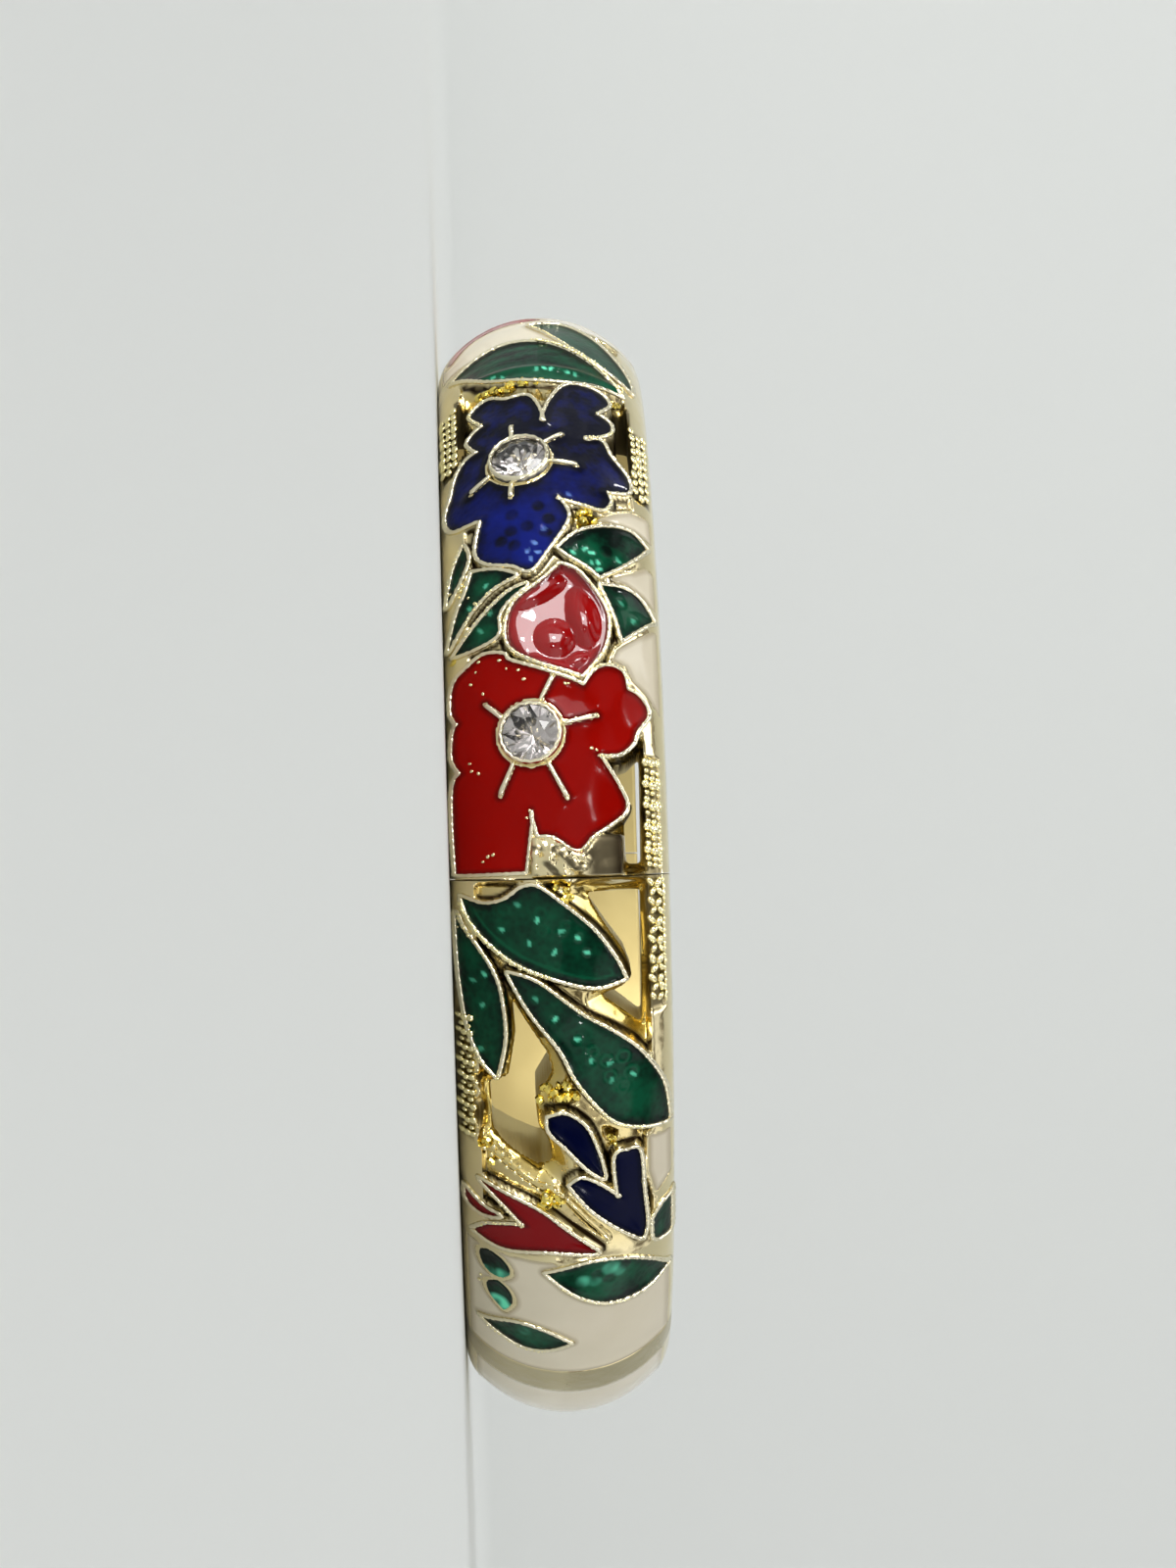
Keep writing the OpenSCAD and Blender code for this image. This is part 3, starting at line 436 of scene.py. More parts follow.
# Raised bars and ridges: from, to, half width, height
ridges = [
    ([16.9, -5.0], [19.9, -0.6], 0.55, 0.34), ([19.8, -0.6], [23.8, 2.3], 0.22, 0.2),
    ([13.4, -1.7], [15.8, -1.5], 0.3, 0.2), ([0.4, 0.5], [1.6, 2.6], 0.35, 0.2),
]
endWall = {"middle": -1.3, "half": 1.2, "across": [-1.9, -1.5, 3.4, 3.9], "bulge": [1.0, 2.0], "rise": 0.3,
    "lumps": 0.3, "lumpSize": 1.3, "darkPatchSize": 0.9}
# Sunk tracks that hold the beads: first s, last s, w, half width, depth, painted brown shade between the beads
tracks = {
    "flower_half": [[-35.4, -28.6, -5.8, 0.5, 0.1, 0.9], [-32.4, -25.8, 5.7, 0.55, 0.1, 0.9],
        [-7.3, 0.2, 5.45, 0.5, 0.35, 0.75]],
    "leaf_half": [[-0.2, 8.6, 5.45, 0.5, 0.35, 0.75], [8.4, 17.2, -5.95, 0.45, 0.2, 0.5]],
}


# Height of the metal: a seat for each cell's wire, a floor under the enamel, ground between the cells that
# lies lower and slopes into the holes, blind recesses, bead tracks and raised ridges. Returns lift, sink, how
# hollow each place is and how much painted brown shade lies on it: beside the wires, between the beads, in
# the recesses and on the end wall, and a darker brown on the bar.
def metalHeight(half, s, w, colourD, whiteD, holeD, recessD):
    c = casting
    cellD = np.minimum(colourD, whiteD)
    cellSide = c["seatTop"] + c["wallSlope"] * cellD
    lift = np.where(cellD > 0, c["seatTop"], np.maximum(cellSide, -c["cellFloor"]))
    depth = c["ground"][half] * (1 - ease(np.abs(s), 23.0, 25.5) * (half == "leaf_half"))
    apart = (1 - ease(np.abs(w), 4.8, 5.2)) * ease(np.abs(s), 0.05, 0.5) * ease(whiteD, 0.2, 0.5)
    sink = (depth + c["holeFall"] * (1 - ease(holeD, 0.0, c["holeSlope"]))) * ease(colourD, 0.2, 0.38) * apart
    sink += c["holeRounding"] * (1 - np.clip(holeD / c["holeEdge"], 0, 1)) ** 2
    # painted dark brown shade beside the wires and in the recesses, and a darker brown on the bar
    paintedShadeAndBrown = plateau(colourD, *c["paintedDark"]) * apart * np.clip(depth / 0.2, 0, 1)
    paintedShadeAndBrown = np.maximum(paintedShadeAndBrown, dividerBar["paintedShadeAndBrown"] * plateau(s, *dividerBar["edges"]))
    sink = np.maximum(sink, c["recessDepth"] * ease(-recessD, -0.12, 0.4))
    paintedShadeAndBrown = np.maximum(paintedShadeAndBrown, 0.8 * ease(-recessD, -0.1, 0.5))
    # painted dark brown shade between the beads in the tracks
    for first, last, middle, trackHalf, depth, dull in tracks[half]:
        inside = plateau(s, first - 0.2, first + 0.2, last - 0.2, last + 0.2)
        inside = inside * (1 - ease(np.abs(w - middle), trackHalf - 0.15, trackHalf + 0.1)) * (cellD > 0.05)
        sink += depth * inside
        paintedShadeAndBrown = np.maximum(paintedShadeAndBrown, dull * inside)
    for start, end, ridgeHalf, height in ridges:
        near = np.clip(1 - (segmentDistance(s, w, start, end) / ridgeHalf) ** 2, 0, 1)
        lift += height * np.sqrt(near) * (cellD > 0.1)
        paintedShadeAndBrown *= 1 - near
    if half == "flower_half":
        for flower in flowers.values():
            away = np.hypot(s - flower["centre"][0], w - flower["centre"][1])
            sink += c["cupDepth"] * (1 - ease(away, 1.6, 1.75))
        e = endWall     # an arch along s, lumpy at one end and a smooth bulge at the other; dark reflections are painted as brown shade in patches on the lumps and all over the bulge
        arch = np.sqrt(np.clip(1 - ((s - e["middle"]) / e["half"]) ** 2, 0, 1))
        inWall = plateau(w, *e["across"]) * ease(cellD, 0.05, 0.3)
        bulge = ease(w, *e["bulge"])
        crumple = np.abs(waves(s, w, e["lumpSize"], 3)) + 0.5 * np.abs(waves(s, w, e["lumpSize"] / 2, 6))
        lift += inWall * arch * (e["rise"] + e["lumps"] * crumple * (1 - bulge))
        inWall = inWall * (arch > 0)
        sink *= 1 - inWall
        # painted dark reflections: brown patches on the lumps, the bulge dark, its right flank darker still
        paintedDark = ease(waves(s, w, e["darkPatchSize"], 8), 0.2, 0.5)
        dull = 0.85 * paintedDark * (1 - bulge) + 0.9 * bulge + 0.1 * ease(w, 2.7, 3.6)
        paintedShadeAndBrown = np.maximum(paintedShadeAndBrown * (1 - inWall), inWall * dull)
    return lift, sink, np.clip(sink / c["deepest"], 0, 1), paintedShadeAndBrown


hinge = {"y": crownY - 1.5, "radius": 1.5, "clearance": 0.25, "relief": 32, "bore": 0.55, "bevel": 0.12,
    "reach": 3, "steps": 48}
knuckles = {"flower_half": [(2.6, 5.15), (7.85, 10.4)], "leaf_half": [(5.25, 7.75)]}
troughs = {"flower_half": [(5.15, 7.85)], "leaf_half": [(2.5, 5.25), (7.75, 10.5)]}
# Rows of the castings: stretches from the seam, each with its end and its step, then those by the hinge
castingRows = {"flower_half": [(41.5, 0.15), (50.6, 0.17), (52.0, 0.15)],
    "leaf_half": [(37.0, 0.14), (38.8, 0.3), (40.0, 0.15)]}
hingeRows = [(halfS - 6.6, 0.7), (halfS - 4.6, 0.16), (halfS - 0.05, 0.25)]


# Cuts the back ends to the V between the halves and to the troughs of the other half's knuckles
def hingeCut(points, half):
    x, y, z = np.abs(points[..., 0]), points[..., 1], points[..., 2]
    atBack = y > hinge["y"] - hinge["reach"]
    y = np.where(atBack, np.minimum(y, hinge["y"] + x / np.tan(np.radians(hinge["relief"]))), y)
    reach = hinge["radius"] + hinge["clearance"]
    trough = hinge["y"] - np.sqrt(np.maximum(reach ** 2 - x ** 2, 0))
    for low, high in troughs[half]:
        y = np.where((x < reach) & (z > low) & (z < high) & atBack, np.minimum(y, trough), y)
    return y


# The casting of one half: the outer sheet over the inner face, with the holes left out of both
def makeCasting(half):
    s, w = placesOn(half, evenRows(band["seamGap"] / 2, castingRows[half] + hingeRows),
        domeColumns(casting["pitch"], casting["shoulderPitch"]))
    colourD = whiteD = holeD = recessD = np.full(s.shape, 1.6)
    for name in cells:
        if halfOf[name + "_enamel"] == half and finishOf(name) == "white":
            whiteD = np.minimum(whiteD, cellDistance(name, s, w))
        elif halfOf[name + "_enamel"] == half:
            colourD = np.minimum(colourD, cellDistance(name, s, w))
    for points in holes:
        holeD = np.minimum(holeD, outlineDistance(points, s, w))
    for points in recesses:
        recessD = np.minimum(recessD, outlineDistance(points, s, w))
    keep = (holeD[:-1, :-1] + holeD[1:, :-1] + holeD[1:, 1:] + holeD[:-1, 1:]) > 0
    s, w = evenCut(*snapToLine(s, w, holeD, keep), keep)
    lift, sink, hollow, paintedShadeAndBrown = metalHeight(half, s, w, colourD, whiteD, holeD, recessD)
    top = bandPoint(s, w, lift, sink)
    # side walls: two more columns on each side, down to the rounded inner edge
    sides = ((0, 0), (2, 2))
    x, y, nx, ny = crownLine(s[:, :1])
    foot = band["thickness"] - band["innerEdge"]
    low = np.stack([np.concatenate([x - nx * k, y - ny * k, 0 * x], 1) for k in (foot, (foot + rise) / 2)], 1)
    high = low[:, ::-1].copy()
    high[..., 2] = band["width"]
    top = np.concatenate([low, top, high], 1)
    keep = np.pad(keep, sides, constant_values=True)
    # inner face: the same columns, squeezed inside the rounded inner edges
    innerW = np.where(np.abs(w) > 5.5, np.sign(w) * (5.5 + (np.abs(w) - 5.5) * 0.6), w)
    edges = halfWidth - band["innerEdge"] - np.array([0, 0.03])
    innerW = np.concatenate([-edges + 0 * s[:, :1], innerW, edges[::-1] + 0 * s[:, :1]], 1)
    x, y, nx, ny = crownLine(np.pad(s, sides, mode="edge"))
    bottom = np.stack([x - nx * band["thickness"], y - ny * band["thickness"], halfWidth + innerW], -1)
    for sheet in (top, bottom):
        sheet[..., 1] = hingeCut(sheet, half)
    points, faces, source, upper = closedSheet(top, bottom, keep)
    # painted shade in the holes by the blue flower on both sheets; the rest of the painted shade lies on the
    # upper sheet only
    holeShading = casting["holeShade"] * (s < casting["holeShadeFrom"]) * (holeD < 0.2)
    hollow, paintedShadeAndBrown, holeShading = (np.pad(values, sides).ravel()[source] for values in (hollow, paintedShadeAndBrown, holeShading))
    attributes = {"hollow": np.where(upper, hollow, 0.0),
        "paintedShadeAndBrown": np.maximum(np.where(upper, paintedShadeAndBrown, 0), holeShading)}
    return points, faces, attributes, keep.sum()


# Slot for the clasp's tongue: its middle and half width across, depths below the crown, reach from the seam
slot = {"middle": -1.5, "half": 2.25, "ceiling": 2.95, "floor": 4.65, "reach": 3.55}


# Opens the slot in the seam face: the wall's quads are split above and below a mouth, and a ceiling, a floor,
# an end and two sides run into the metal behind it. Returns the points, the faces as lists, and how many
# points were added.
def cutSlot(points, faces):
    corners = points[faces]
    z = corners[..., 2] - halfWidth - slot["middle"]
    onSeam = (np.abs(corners[..., 0] + band["seamGap"] / 2) < 0.01).all(1) & (corners[..., 1] < 0).all(1)
    inMouth = onSeam & (np.abs(z) < slot["half"]).all(1)
    mouth = faces[inMouth][np.argsort(z[inMouth].min(1))]
    top, bottom = np.append(mouth[:, 1], mouth[-1, 0]), np.append(mouth[:, 2], mouth[-1, 3])
    across, mouthX = points[top, 2], -band["seamGap"] / 2
    added = [np.stack([0 * across + x, 0 * across + depth - crownY, across], -1)
        for x in (mouthX, mouthX - slot["reach"]) for depth in (slot["ceiling"], slot["floor"])]
    ceiling, floor, endCeiling, endFloor = len(points) + np.arange(4 * len(top)).reshape(4, -1)
    strips = [(top, ceiling), (floor, bottom), (ceiling, endCeiling), (endFloor, floor),
        (endCeiling, endFloor)]
    quads = [np.stack([upper[1:], upper[:-1], lower[:-1], lower[1:]], -1) for upper, lower in strips]
    before = (faces[:, 0] == top[0]) & (faces[:, 3] == bottom[0])
    after = (faces[:, 1] == top[-1]) & (faces[:, 2] == bottom[-1])
    extra = [[ceiling[0], floor[0], endFloor[0], endCeiling[0]],
        [floor[-1], ceiling[-1], endCeiling[-1], endFloor[-1]], [*faces[before][0], floor[0], ceiling[0]],
        [*faces[after][0][:2], ceiling[-1], floor[-1], *faces[after][0][2:]]]
    kept = faces[~(inMouth | before | after)]
    return np.vstack([points] + added), np.vstack([kept] + quads).tolist() + extra, 4 * len(top)


# Quads of a tube of rings of points, open at its ends or with its last ring joined to the first
def tubeQuads(rings, sides, closed=True):
    i, j = np.meshgrid(np.arange(rings if closed else rings - 1), np.arange(sides), indexing="ij")
    after, beside = (i + 1) % rings * sides, (j + 1) % sides
    return np.stack([i * sides + j, after + j, after + beside, i * sides + beside], -1).reshape(-1, 4)


# Closed profile of radius and height carried round an axis. Its beads swell the radius above a height.
def revolve(profile, centre, u, v, axis, steps, beads=None):
    radius, height = np.array(profile, float).T[..., None]
    angle = np.arange(steps) * 2 * np.pi / steps
    r = radius + 0 * angle
    if beads:
        r = r + beads["size"] * np.cos(beads["count"] * angle) * (height > beads["from"])
    ring = np.cos(angle)[:, None] * u + np.sin(angle)[:, None] * v
    points = centre + r[..., None] * ring + height[..., None] * axis
    return points.reshape(-1, 3), tubeQuads(len(profile), steps)[:, [1, 2, 3, 0]]


# Centre on the dome and the directions along, across and outwards there
def domeFrame(s, w):
    s, w = np.array(s), np.array(w)
    centre = bandPoint(s, w)
    out = bandPoint(s, w, 1) - centre
    along = bandPoint(s + 0.01, w) - centre
    along -= (along @ out) * out
    along /= np.linalg.norm(along)
    return centre, along, np.cross(out, along), out


def joined(parts):
    points, faces, base = [], [], 0
    for p, f in parts:
        points.append(p)
        lists = f.tolist() if isinstance(f, np.ndarray) else f
        faces += [[corner + base for corner in face] for face in lists]
        base += len(p)
    return np.vstack(points), faces


# Closed outline moved outwards by the offset and spaced evenly. Each point moves along the mean of its two
# sides' normals, further at a corner, up to a limit.
def offsetPath(points, offset, step):
    x, y = points.T
    turn = np.sign((x * np.roll(y, -1) - np.roll(x, -1) * y).sum())
    edge = np.roll(points, -1, 0) - points
    edge /= np.maximum(np.linalg.norm(edge, axis=1, keepdims=True), 1e-9)
    normal = np.stack([edge[:, 1], -edge[:, 0]], 1) * turn
    mean = normal + np.roll(normal, 1, 0)
    length = np.maximum(np.linalg.norm(mean, axis=1, keepdims=True), 0.9)
    path = points + mean / length * np.minimum(2 / length, 1.6) * offset
    closed = np.vstack([path, path[:1]])
    along = np.concatenate([[0], np.cumsum(np.linalg.norm(np.diff(closed, axis=0), axis=1))])
    at = np.arange(0, along[-1] - step / 2, along[-1] / round(along[-1] / step))
    return np.stack([np.interp(at, along, closed[:, 0]), np.interp(at, along, closed[:, 1])], 1), at


# Rings of a tube along a path on the band, with its own radius at each point of the path
def bandTube(path, side, r, lift, sides):
    angle = np.arange(sides) * 2 * np.pi / sides
    out = r[:, None] * np.cos(angle)
    return bandPoint(path[:, :1] + side[..., :1] * out, path[:, 1:] + side[..., 1:] * out,
        lift + r[:, None] * np.sin(angle)).reshape(-1, 3)


# Round wire along a closed path on the band, a little lumpy: its radius swells and shrinks along the way
def cellWire(name, w):
    path, at = offsetPath(roundedOutline(name, 8), w["radius"], w["step"])
    side = np.roll(path, -1, 0) - np.roll(path, 1, 0)
    side = np.stack([side[:, 1], -side[:, 0]], 1) / np.linalg.norm(side, axis=1, keepdims=True)
    swell = 1 + w["bumps"] * (np.sin(at * 2 * np.pi / 0.53) * 0.5 + np.sin(at * 2 * np.pi / 0.37 + at) * 0.5)
    return bandTube(path, side, w["radius"] * swell, w["lift"], w["sides"]), tubeQuads(len(path), w["sides"])


# Rod with rounded ends between two places on the band: the radius of its rings follows an eighth-power arch
def bandRod(start, end, rod):
    start, end = np.array(start, float), np.array(end, float)
    rings, sides = rod["rings"], rod["sides"]
    t = np.sin(np.linspace(-np.pi / 2, np.pi / 2, rings)) * 0.5 + 0.5
    arch = np.maximum(1 - (2 * t - 1) ** 8, 0.0004) ** 0.5
    r = (rod["radius"] + (rod["endRadius"] - rod["radius"]) * t) * arch
    along = (end - start) / np.linalg.norm(end - start)
    across = np.array([along[1], -along[0]])
    points = bandTube(start + (end - start) * t[:, None], across, r, rod["lift"], sides)
    last = (rings - 1) * sides
    caps = [list(range(sides)), list(range(last + sides - 1, last - 1, -1))]
    return points, tubeQuads(rings, sides, closed=False).tolist() + caps


def linear(hexColour):
    value = np.array([int(hexColour[k:k + 2], 16) / 255 for k in (1, 3, 5)])
    value = np.where(value <= 0.04045, value / 12.92, ((value + 0.055) / 1.055) ** 2.4)
    return (*value.tolist(), 1.0)


# A node given as an input stands for its first output in use
def addNode(tree, kind, inputs=None, **settings):
    new = tree.nodes.new("ShaderNode" + kind)
    for key, value in settings.items():
        setattr(new, key, value)
    for key, value in (inputs or {}).items():
        if isinstance(value, bpy.types.Node):
            value = next(socket for socket in value.outputs if socket.enabled)
        if isinstance(value, bpy.types.NodeSocket):
            tree.links.new(value, new.inputs[key])
        else:
            new.inputs[key].default_value = value
    return new


def newMaterial(name):
    material = bpy.data.materials.new(name)
    material.use_nodes = True
    material.node_tree.nodes.clear()
    return material, material.node_tree


# Gilt zinc casting: pale gold flash over polished metal, softly wavy from casting and polishing, so that its
# reflections swing between cream and brown. Its hollows are painted yellower, a painted reflection of gold on
# gold, and painted brown shade lies dull beside the wires, between the grains, in the recesses and holes and
# on the end wall.
gold = {
    "casting": {"name": "pale_gilt_casting", "pale": "#EDDFB2", "deep": "#DCC474",
        "waveSize": 1.8, "swing": 0.17, "smoothest": 0.06, "roughest": 0.18},
    "wire": {"name": "worn_gilt_wire", "pale": "#F2EACC", "deep": "#F2EACC",
        "waveSize": 0.5, "swing": 0.06, "smoothest": 0.12, "roughest": 0.26},
    "grain": {"name": "bright_gilt_grain", "pale": "#FAF0BC", "deep": "#F0DC84",
        "waveSize": 0.4, "swing": 0.04, "smoothest": 0.05, "roughest": 0.14},
    # The nuggets' strong yellow is painted reflection: it stands in for light reflected between gold surfaces
    "nugget": {"name": "yellow_gilt_nugget", "pale": "#F2DC72", "deep": "#E6C848",
        "waveSize": 0.4, "swing": 0.04, "smoothest": 0.04, "roughest": 0.12},
    # The inside's colour is darkened: painted shade inside the ring
    "inside": {"name": "satin_gilt_inside_painted_shade", "pale": "#C6B57E", "deep": "#C6B57E",
        "waveSize": 4.0, "swing": 0.12, "smoothest": 0.5, "roughest": 0.62},
}
# Colour of the painted brown shade and how much rougher it makes the gold, and fine pits in the gilding
wearAndShade = {"paintedShadeAndBrown": "#1E1206", "dulls": 0.25, "pitSize": 0.18, "pitDepth": 0.01}


def giltMetal(look):
    material, tree = newMaterial(look["name"])
    place = addNode(tree, "TexCoord").outputs["Object"]
    wave = addNode(tree, "TexNoise", {"Vector": place, "Scale": 1 / (look["waveSize"] * mm), "Detail": 2.0})
    pits = addNode(tree, "TexNoise", {"Vector": place, "Scale": 1 / (wearAndShade["pitSize"] * mm),
        "Detail": 2.0})
    # painted reflection: the deeper a place is sunk, the more of the yellower deep colour it gets, for light
    # reflected between gold surfaces
    hollow = addNode(tree, "Attribute", attribute_name="hollow").outputs["Fac"]
    # painted brown shade: it darkens the gold and makes it rougher
    paintedShadeAndBrown = addNode(tree, "Attribute", attribute_name="paintedShadeAndBrown").outputs["Fac"]
    tint = addNode(tree, "Mix", {"Factor": hollow, "A": linear(look["pale"]), "B": linear(look["deep"])},
        data_type="RGBA")
    brown = addNode(tree, "Mix", {"Factor": paintedShadeAndBrown, "A": tint, "B": linear(wearAndShade["paintedShadeAndBrown"])},
        data_type="RGBA")
    rough = addNode(tree, "MapRange", {"Value": wave, "From Min": 0.3, "From Max": 0.7,
        "To Min": look["smoothest"], "To Max": look["roughest"]})
    dull = addNode(tree, "Math", {0: paintedShadeAndBrown, 1: wearAndShade["dulls"], 2: rough}, operation="MULTIPLY_ADD")
    first = addNode(tree, "Bump", {"Height": wave, "Strength": 0.6, "Distance": look["swing"] * mm})
    second = addNode(tree, "Bump", {"Height": pits, "Strength": 0.3, "Distance": wearAndShade["pitDepth"] * mm,
        "Normal": first})
    shader = addNode(tree, "BsdfPrincipled", {"Base Color": brown, "Metallic": 1.0, "Roughness": dull,
        "Normal": second})
    addNode(tree, "OutputMaterial", {"Surface": shader})
    return material


# Opaque enamel: smooth fired glass, dense colour, faint clouding, and painted shade that darkens it against
# the metal
def opaqueEnamel(name, colour, wireShadeColour, roughness, shine):
    material, tree = newMaterial(name)
    place = addNode(tree, "TexCoord").outputs["Object"]
    cloud = addNode(tree, "TexNoise", {"Vector": place, "Scale": 1 / (3.5 * mm), "Detail": 4.0})
    edge = addNode(tree, "Attribute", attribute_name="edge").outputs["Fac"]
    # painted shade along the wires
    edgeShade = addNode(tree, "MapRange", {"Value": edge, "From Min": 0.0, "From Max": 0.3, "To Min": 0.7,
        "To Max": 0.0})
    amount = addNode(tree, "Math", {0: cloud, 1: 0.25, 2: edgeShade}, operation="MULTIPLY_ADD", use_clamp=True)
    tint = addNode(tree, "Mix", {"Factor": amount, "A": linear(colour), "B": linear(wireShadeColour)},
        data_type="RGBA")
    bump = addNode(tree, "Bump", {"Height": cloud, "Strength": 0.15, "Distance": 0.05 * mm})
    shader = addNode(tree, "BsdfPrincipled", {"Base Color": tint, "Roughness": roughness, "IOR": 1.5,
        "Specular IOR Level": shine, "Normal": bump})
    addNode(tree, "OutputMaterial", {"Surface": shader})
    return material


# Translucent enamel: coloured glass over a textured gilt ground. It is darker along its border, where the
# glass is thicker and painted shade lies too, the ground shows through as fine mottling, its tone carries
# painted sheen and shade, and bright painted glints stand for the light that single dimples of the ground
# throw back.
def clearEnamel(name, deep, lit, paintedGlintColour, mottle, shine):
    material, tree = newMaterial(name)
    place = addNode(tree, "TexCoord").outputs["Object"]
    ground = addNode(tree, "TexVoronoi", {"Vector": place, "Scale": 1 / (0.32 * mm)}, feature="SMOOTH_F1")
    cloud = addNode(tree, "TexNoise", {"Vector": place, "Scale": 1 / (1.3 * mm), "Detail": 4.0})
    edge, tone, paintedGlint = (addNode(tree, "Attribute", attribute_name=key).outputs["Fac"]
        for key in ("edge", "tone", "paintedGlint"))
    # thicker glass and painted shade along the border
    edgeShade = addNode(tree, "MapRange", {"Value": edge, "From Min": 0.1, "From Max": 0.5, "To Min": -0.35,
        "To Max": 0.0})
    clouded = addNode(tree, "MapRange", {"Value": cloud, "From Min": 0.35, "From Max": 0.7, "To Min": 0.1,
        "To Max": 0.5})
    mottled = addNode(tree, "Math", {0: ground, 1: mottle, 2: clouded}, operation="MULTIPLY_ADD")
    withEdge = addNode(tree, "Math", {0: mottled, 1: edgeShade}, operation="ADD")
    amount = addNode(tree, "Math", {0: withEdge, 1: tone}, operation="ADD", use_clamp=True)
    tint = addNode(tree, "Mix", {"Factor": amount, "A": linear(deep), "B": linear(lit)}, data_type="RGBA")
    # painted glints in their own bright colour
    bright = addNode(tree, "Mix", {"Factor": paintedGlint, "A": tint, "B": linear(paintedGlintColour)}, data_type="RGBA")
    bump = addNode(tree, "Bump", {"Height": ground, "Strength": 0.35, "Distance": 0.04 * mm})
    shader = addNode(tree, "BsdfPrincipled", {"Base Color": bright, "Metallic": 0.1, "Roughness": 0.3,
        "IOR": 1.5, "Specular IOR Level": 0.05, "Coat Weight": shine, "Coat Roughness": 0.04,
        "Coat IOR": 1.5, "Normal": bump})
    addNode(tree, "OutputMaterial", {"Surface": shader})
    return material


# One even shader: the crystal glass of the stones, the silver foil behind it, the paper of the sweep
def evenMaterial(name, inputs):
    material, tree = newMaterial(name)
    addNode(tree, "OutputMaterial", {"Surface": addNode(tree, "BsdfPrincipled", inputs)})
    return material


gilt = {kind: giltMetal(look) for kind, look in gold.items()}
# An opaque enamel's second colour is the painted shade along its wires
finishes = {
    "white": opaqueEnamel("ivory_enamel", "#E8DFC8", "#B2A482", 0.1, 0.5),
    "red": opaqueEnamel("scarlet_enamel", "#AA0B04", "#560503", 0.09, 0.06),
    "crimson": opaqueEnamel("crimson_enamel", "#8E0A10", "#420407", 0.1, 0.15),
    "navy": opaqueEnamel("navy_enamel", "#040A30", "#020414", 0.1, 0.05),
    "green": clearEnamel("green_glass_enamel", "#00140E", "#035236", "#72F5CA", 0.45, 0.25),
    "blue": clearEnamel("blue_glass_enamel", "#03061A", "#081A7A", "#7FAAF8", 0.25, 0.2),
    "bud": opaqueEnamel("rose_enamel", "#A8080C", "#5A0408", 0.03, 0.5),
}
crystal = evenMaterial("clear_crystal_glass", {"Base Color": (1, 1, 1, 1), "Roughness": 0.0, "IOR": 1.55,
    "Transmission Weight": 1.0})
foil = evenMaterial("silver_foil_back", {"Base Color": linear("#DCD9D8"), "Metallic": 1.0, "Roughness": 0.1})
print("materials ready")


# A new piece, of metal, enamel or crystal, or one that stands for a CAD node, which it hides. Faces from
# backFrom on get the second material.
def finishPiece(piece, material, half, node=None, second=None, backFrom=0):
    piece.data.materials.append(material)
    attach(piece, half)
    if node:
        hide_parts(node)
    if second:
        piece.data.materials.append(second)
        behind = np.arange(len(piece.data.polygons)) >= backFrom
        piece.data.polygons.foreach_set("material_index", behind.astype(np.int32))


for half in knuckles:
    points, faces, attributes, outerCount = makeCasting(half)
    if half == "flower_half":
        points, faces, added = cutSlot(points, faces)
        attributes = {key: np.append(values, np.full(added, 0.5)) for key, values in attributes.items()}
    piece = makeMesh(half + "_gilt_casting", points, faces, sharpDegrees=58, attributes=attributes)
    finishPiece(piece, gilt["casting"], half, half + "_casting", gilt["inside"], outerCount)
    print(half, "casting", len(faces) * 2, "triangles")
    barrels = []
    for low, high in knuckles[half]:
        r, bore, c = hinge["radius"], hinge["bore"], hinge["bevel"]
        profile = [(bore, low), (r - c, low), (r - 0.3 * c, low + 0.3 * c), (r, low + c), (r, high - c),
            (r - 0.3 * c, high - 0.3 * c), (r - c, high), (bore, high)]
        barrels.append(revolve(profile, np.array([0, hinge["y"], 0]), *np.eye(3), hinge["steps"]))
    piece = makeMesh(half + "_knuckles", *joined(barrels), sharpDegrees=50)
    finishPiece(piece, gilt["casting"], half)

# Half-sunk gilt wires that border the coloured cells, and the rays of the flowers
wire = {"radius": 0.135, "lift": 0.0, "step": 0.11, "sides": 8, "bumps": 0.2}
ray = {"radius": 0.13, "endRadius": 0.18, "lift": 0.02, "rings": 11, "sides": 8}
for half in knuckles:
    parts = [cellWire(name, wire) for name in outlines
        if halfOf[name + "_enamel"] == half and name not in ("top_petal", "leaf_o", "leaf_o_tip")]
    if half == "flower_half":
        parts += [bandRod(start, end, ray) for flower in flowers.values() for start, end in flower["rays"]]
    points, faces = joined(parts)
    finishPiece(makeMesh(half + "_cell_wires", points, faces), gilt["wire"], half)
    print(half, "wires", len(faces) * 2, "triangles")

for node in ("hinge_pin", "clasp_tongue"):
    frame["nodes"][node].data.materials.clear()
    frame["nodes"][node].data.materials.append(gilt["casting"])

enamel = {
    "pitch": 0.11,
    "shoulderPitch": 0.15,
    "backPitch": 0.6,        # the long plain cells of the rear
    "backShoulder": 0.25,
    "reach": 0.1,            # how far the fill runs under the metal
    "top": -0.02,
    "dish": 0.1,             # the middle of a cell lies this much lower than its edge
    "thickness": 0.62,
    "dimple": 0.36,          # radius of the dimple at a painted glint
    "paintedGlint": [0.23, 0.15],     # half length and half width of a painted glint
    "pit": 0.5,              # radius of a dark pit
    "pitTone": 0.6,
}
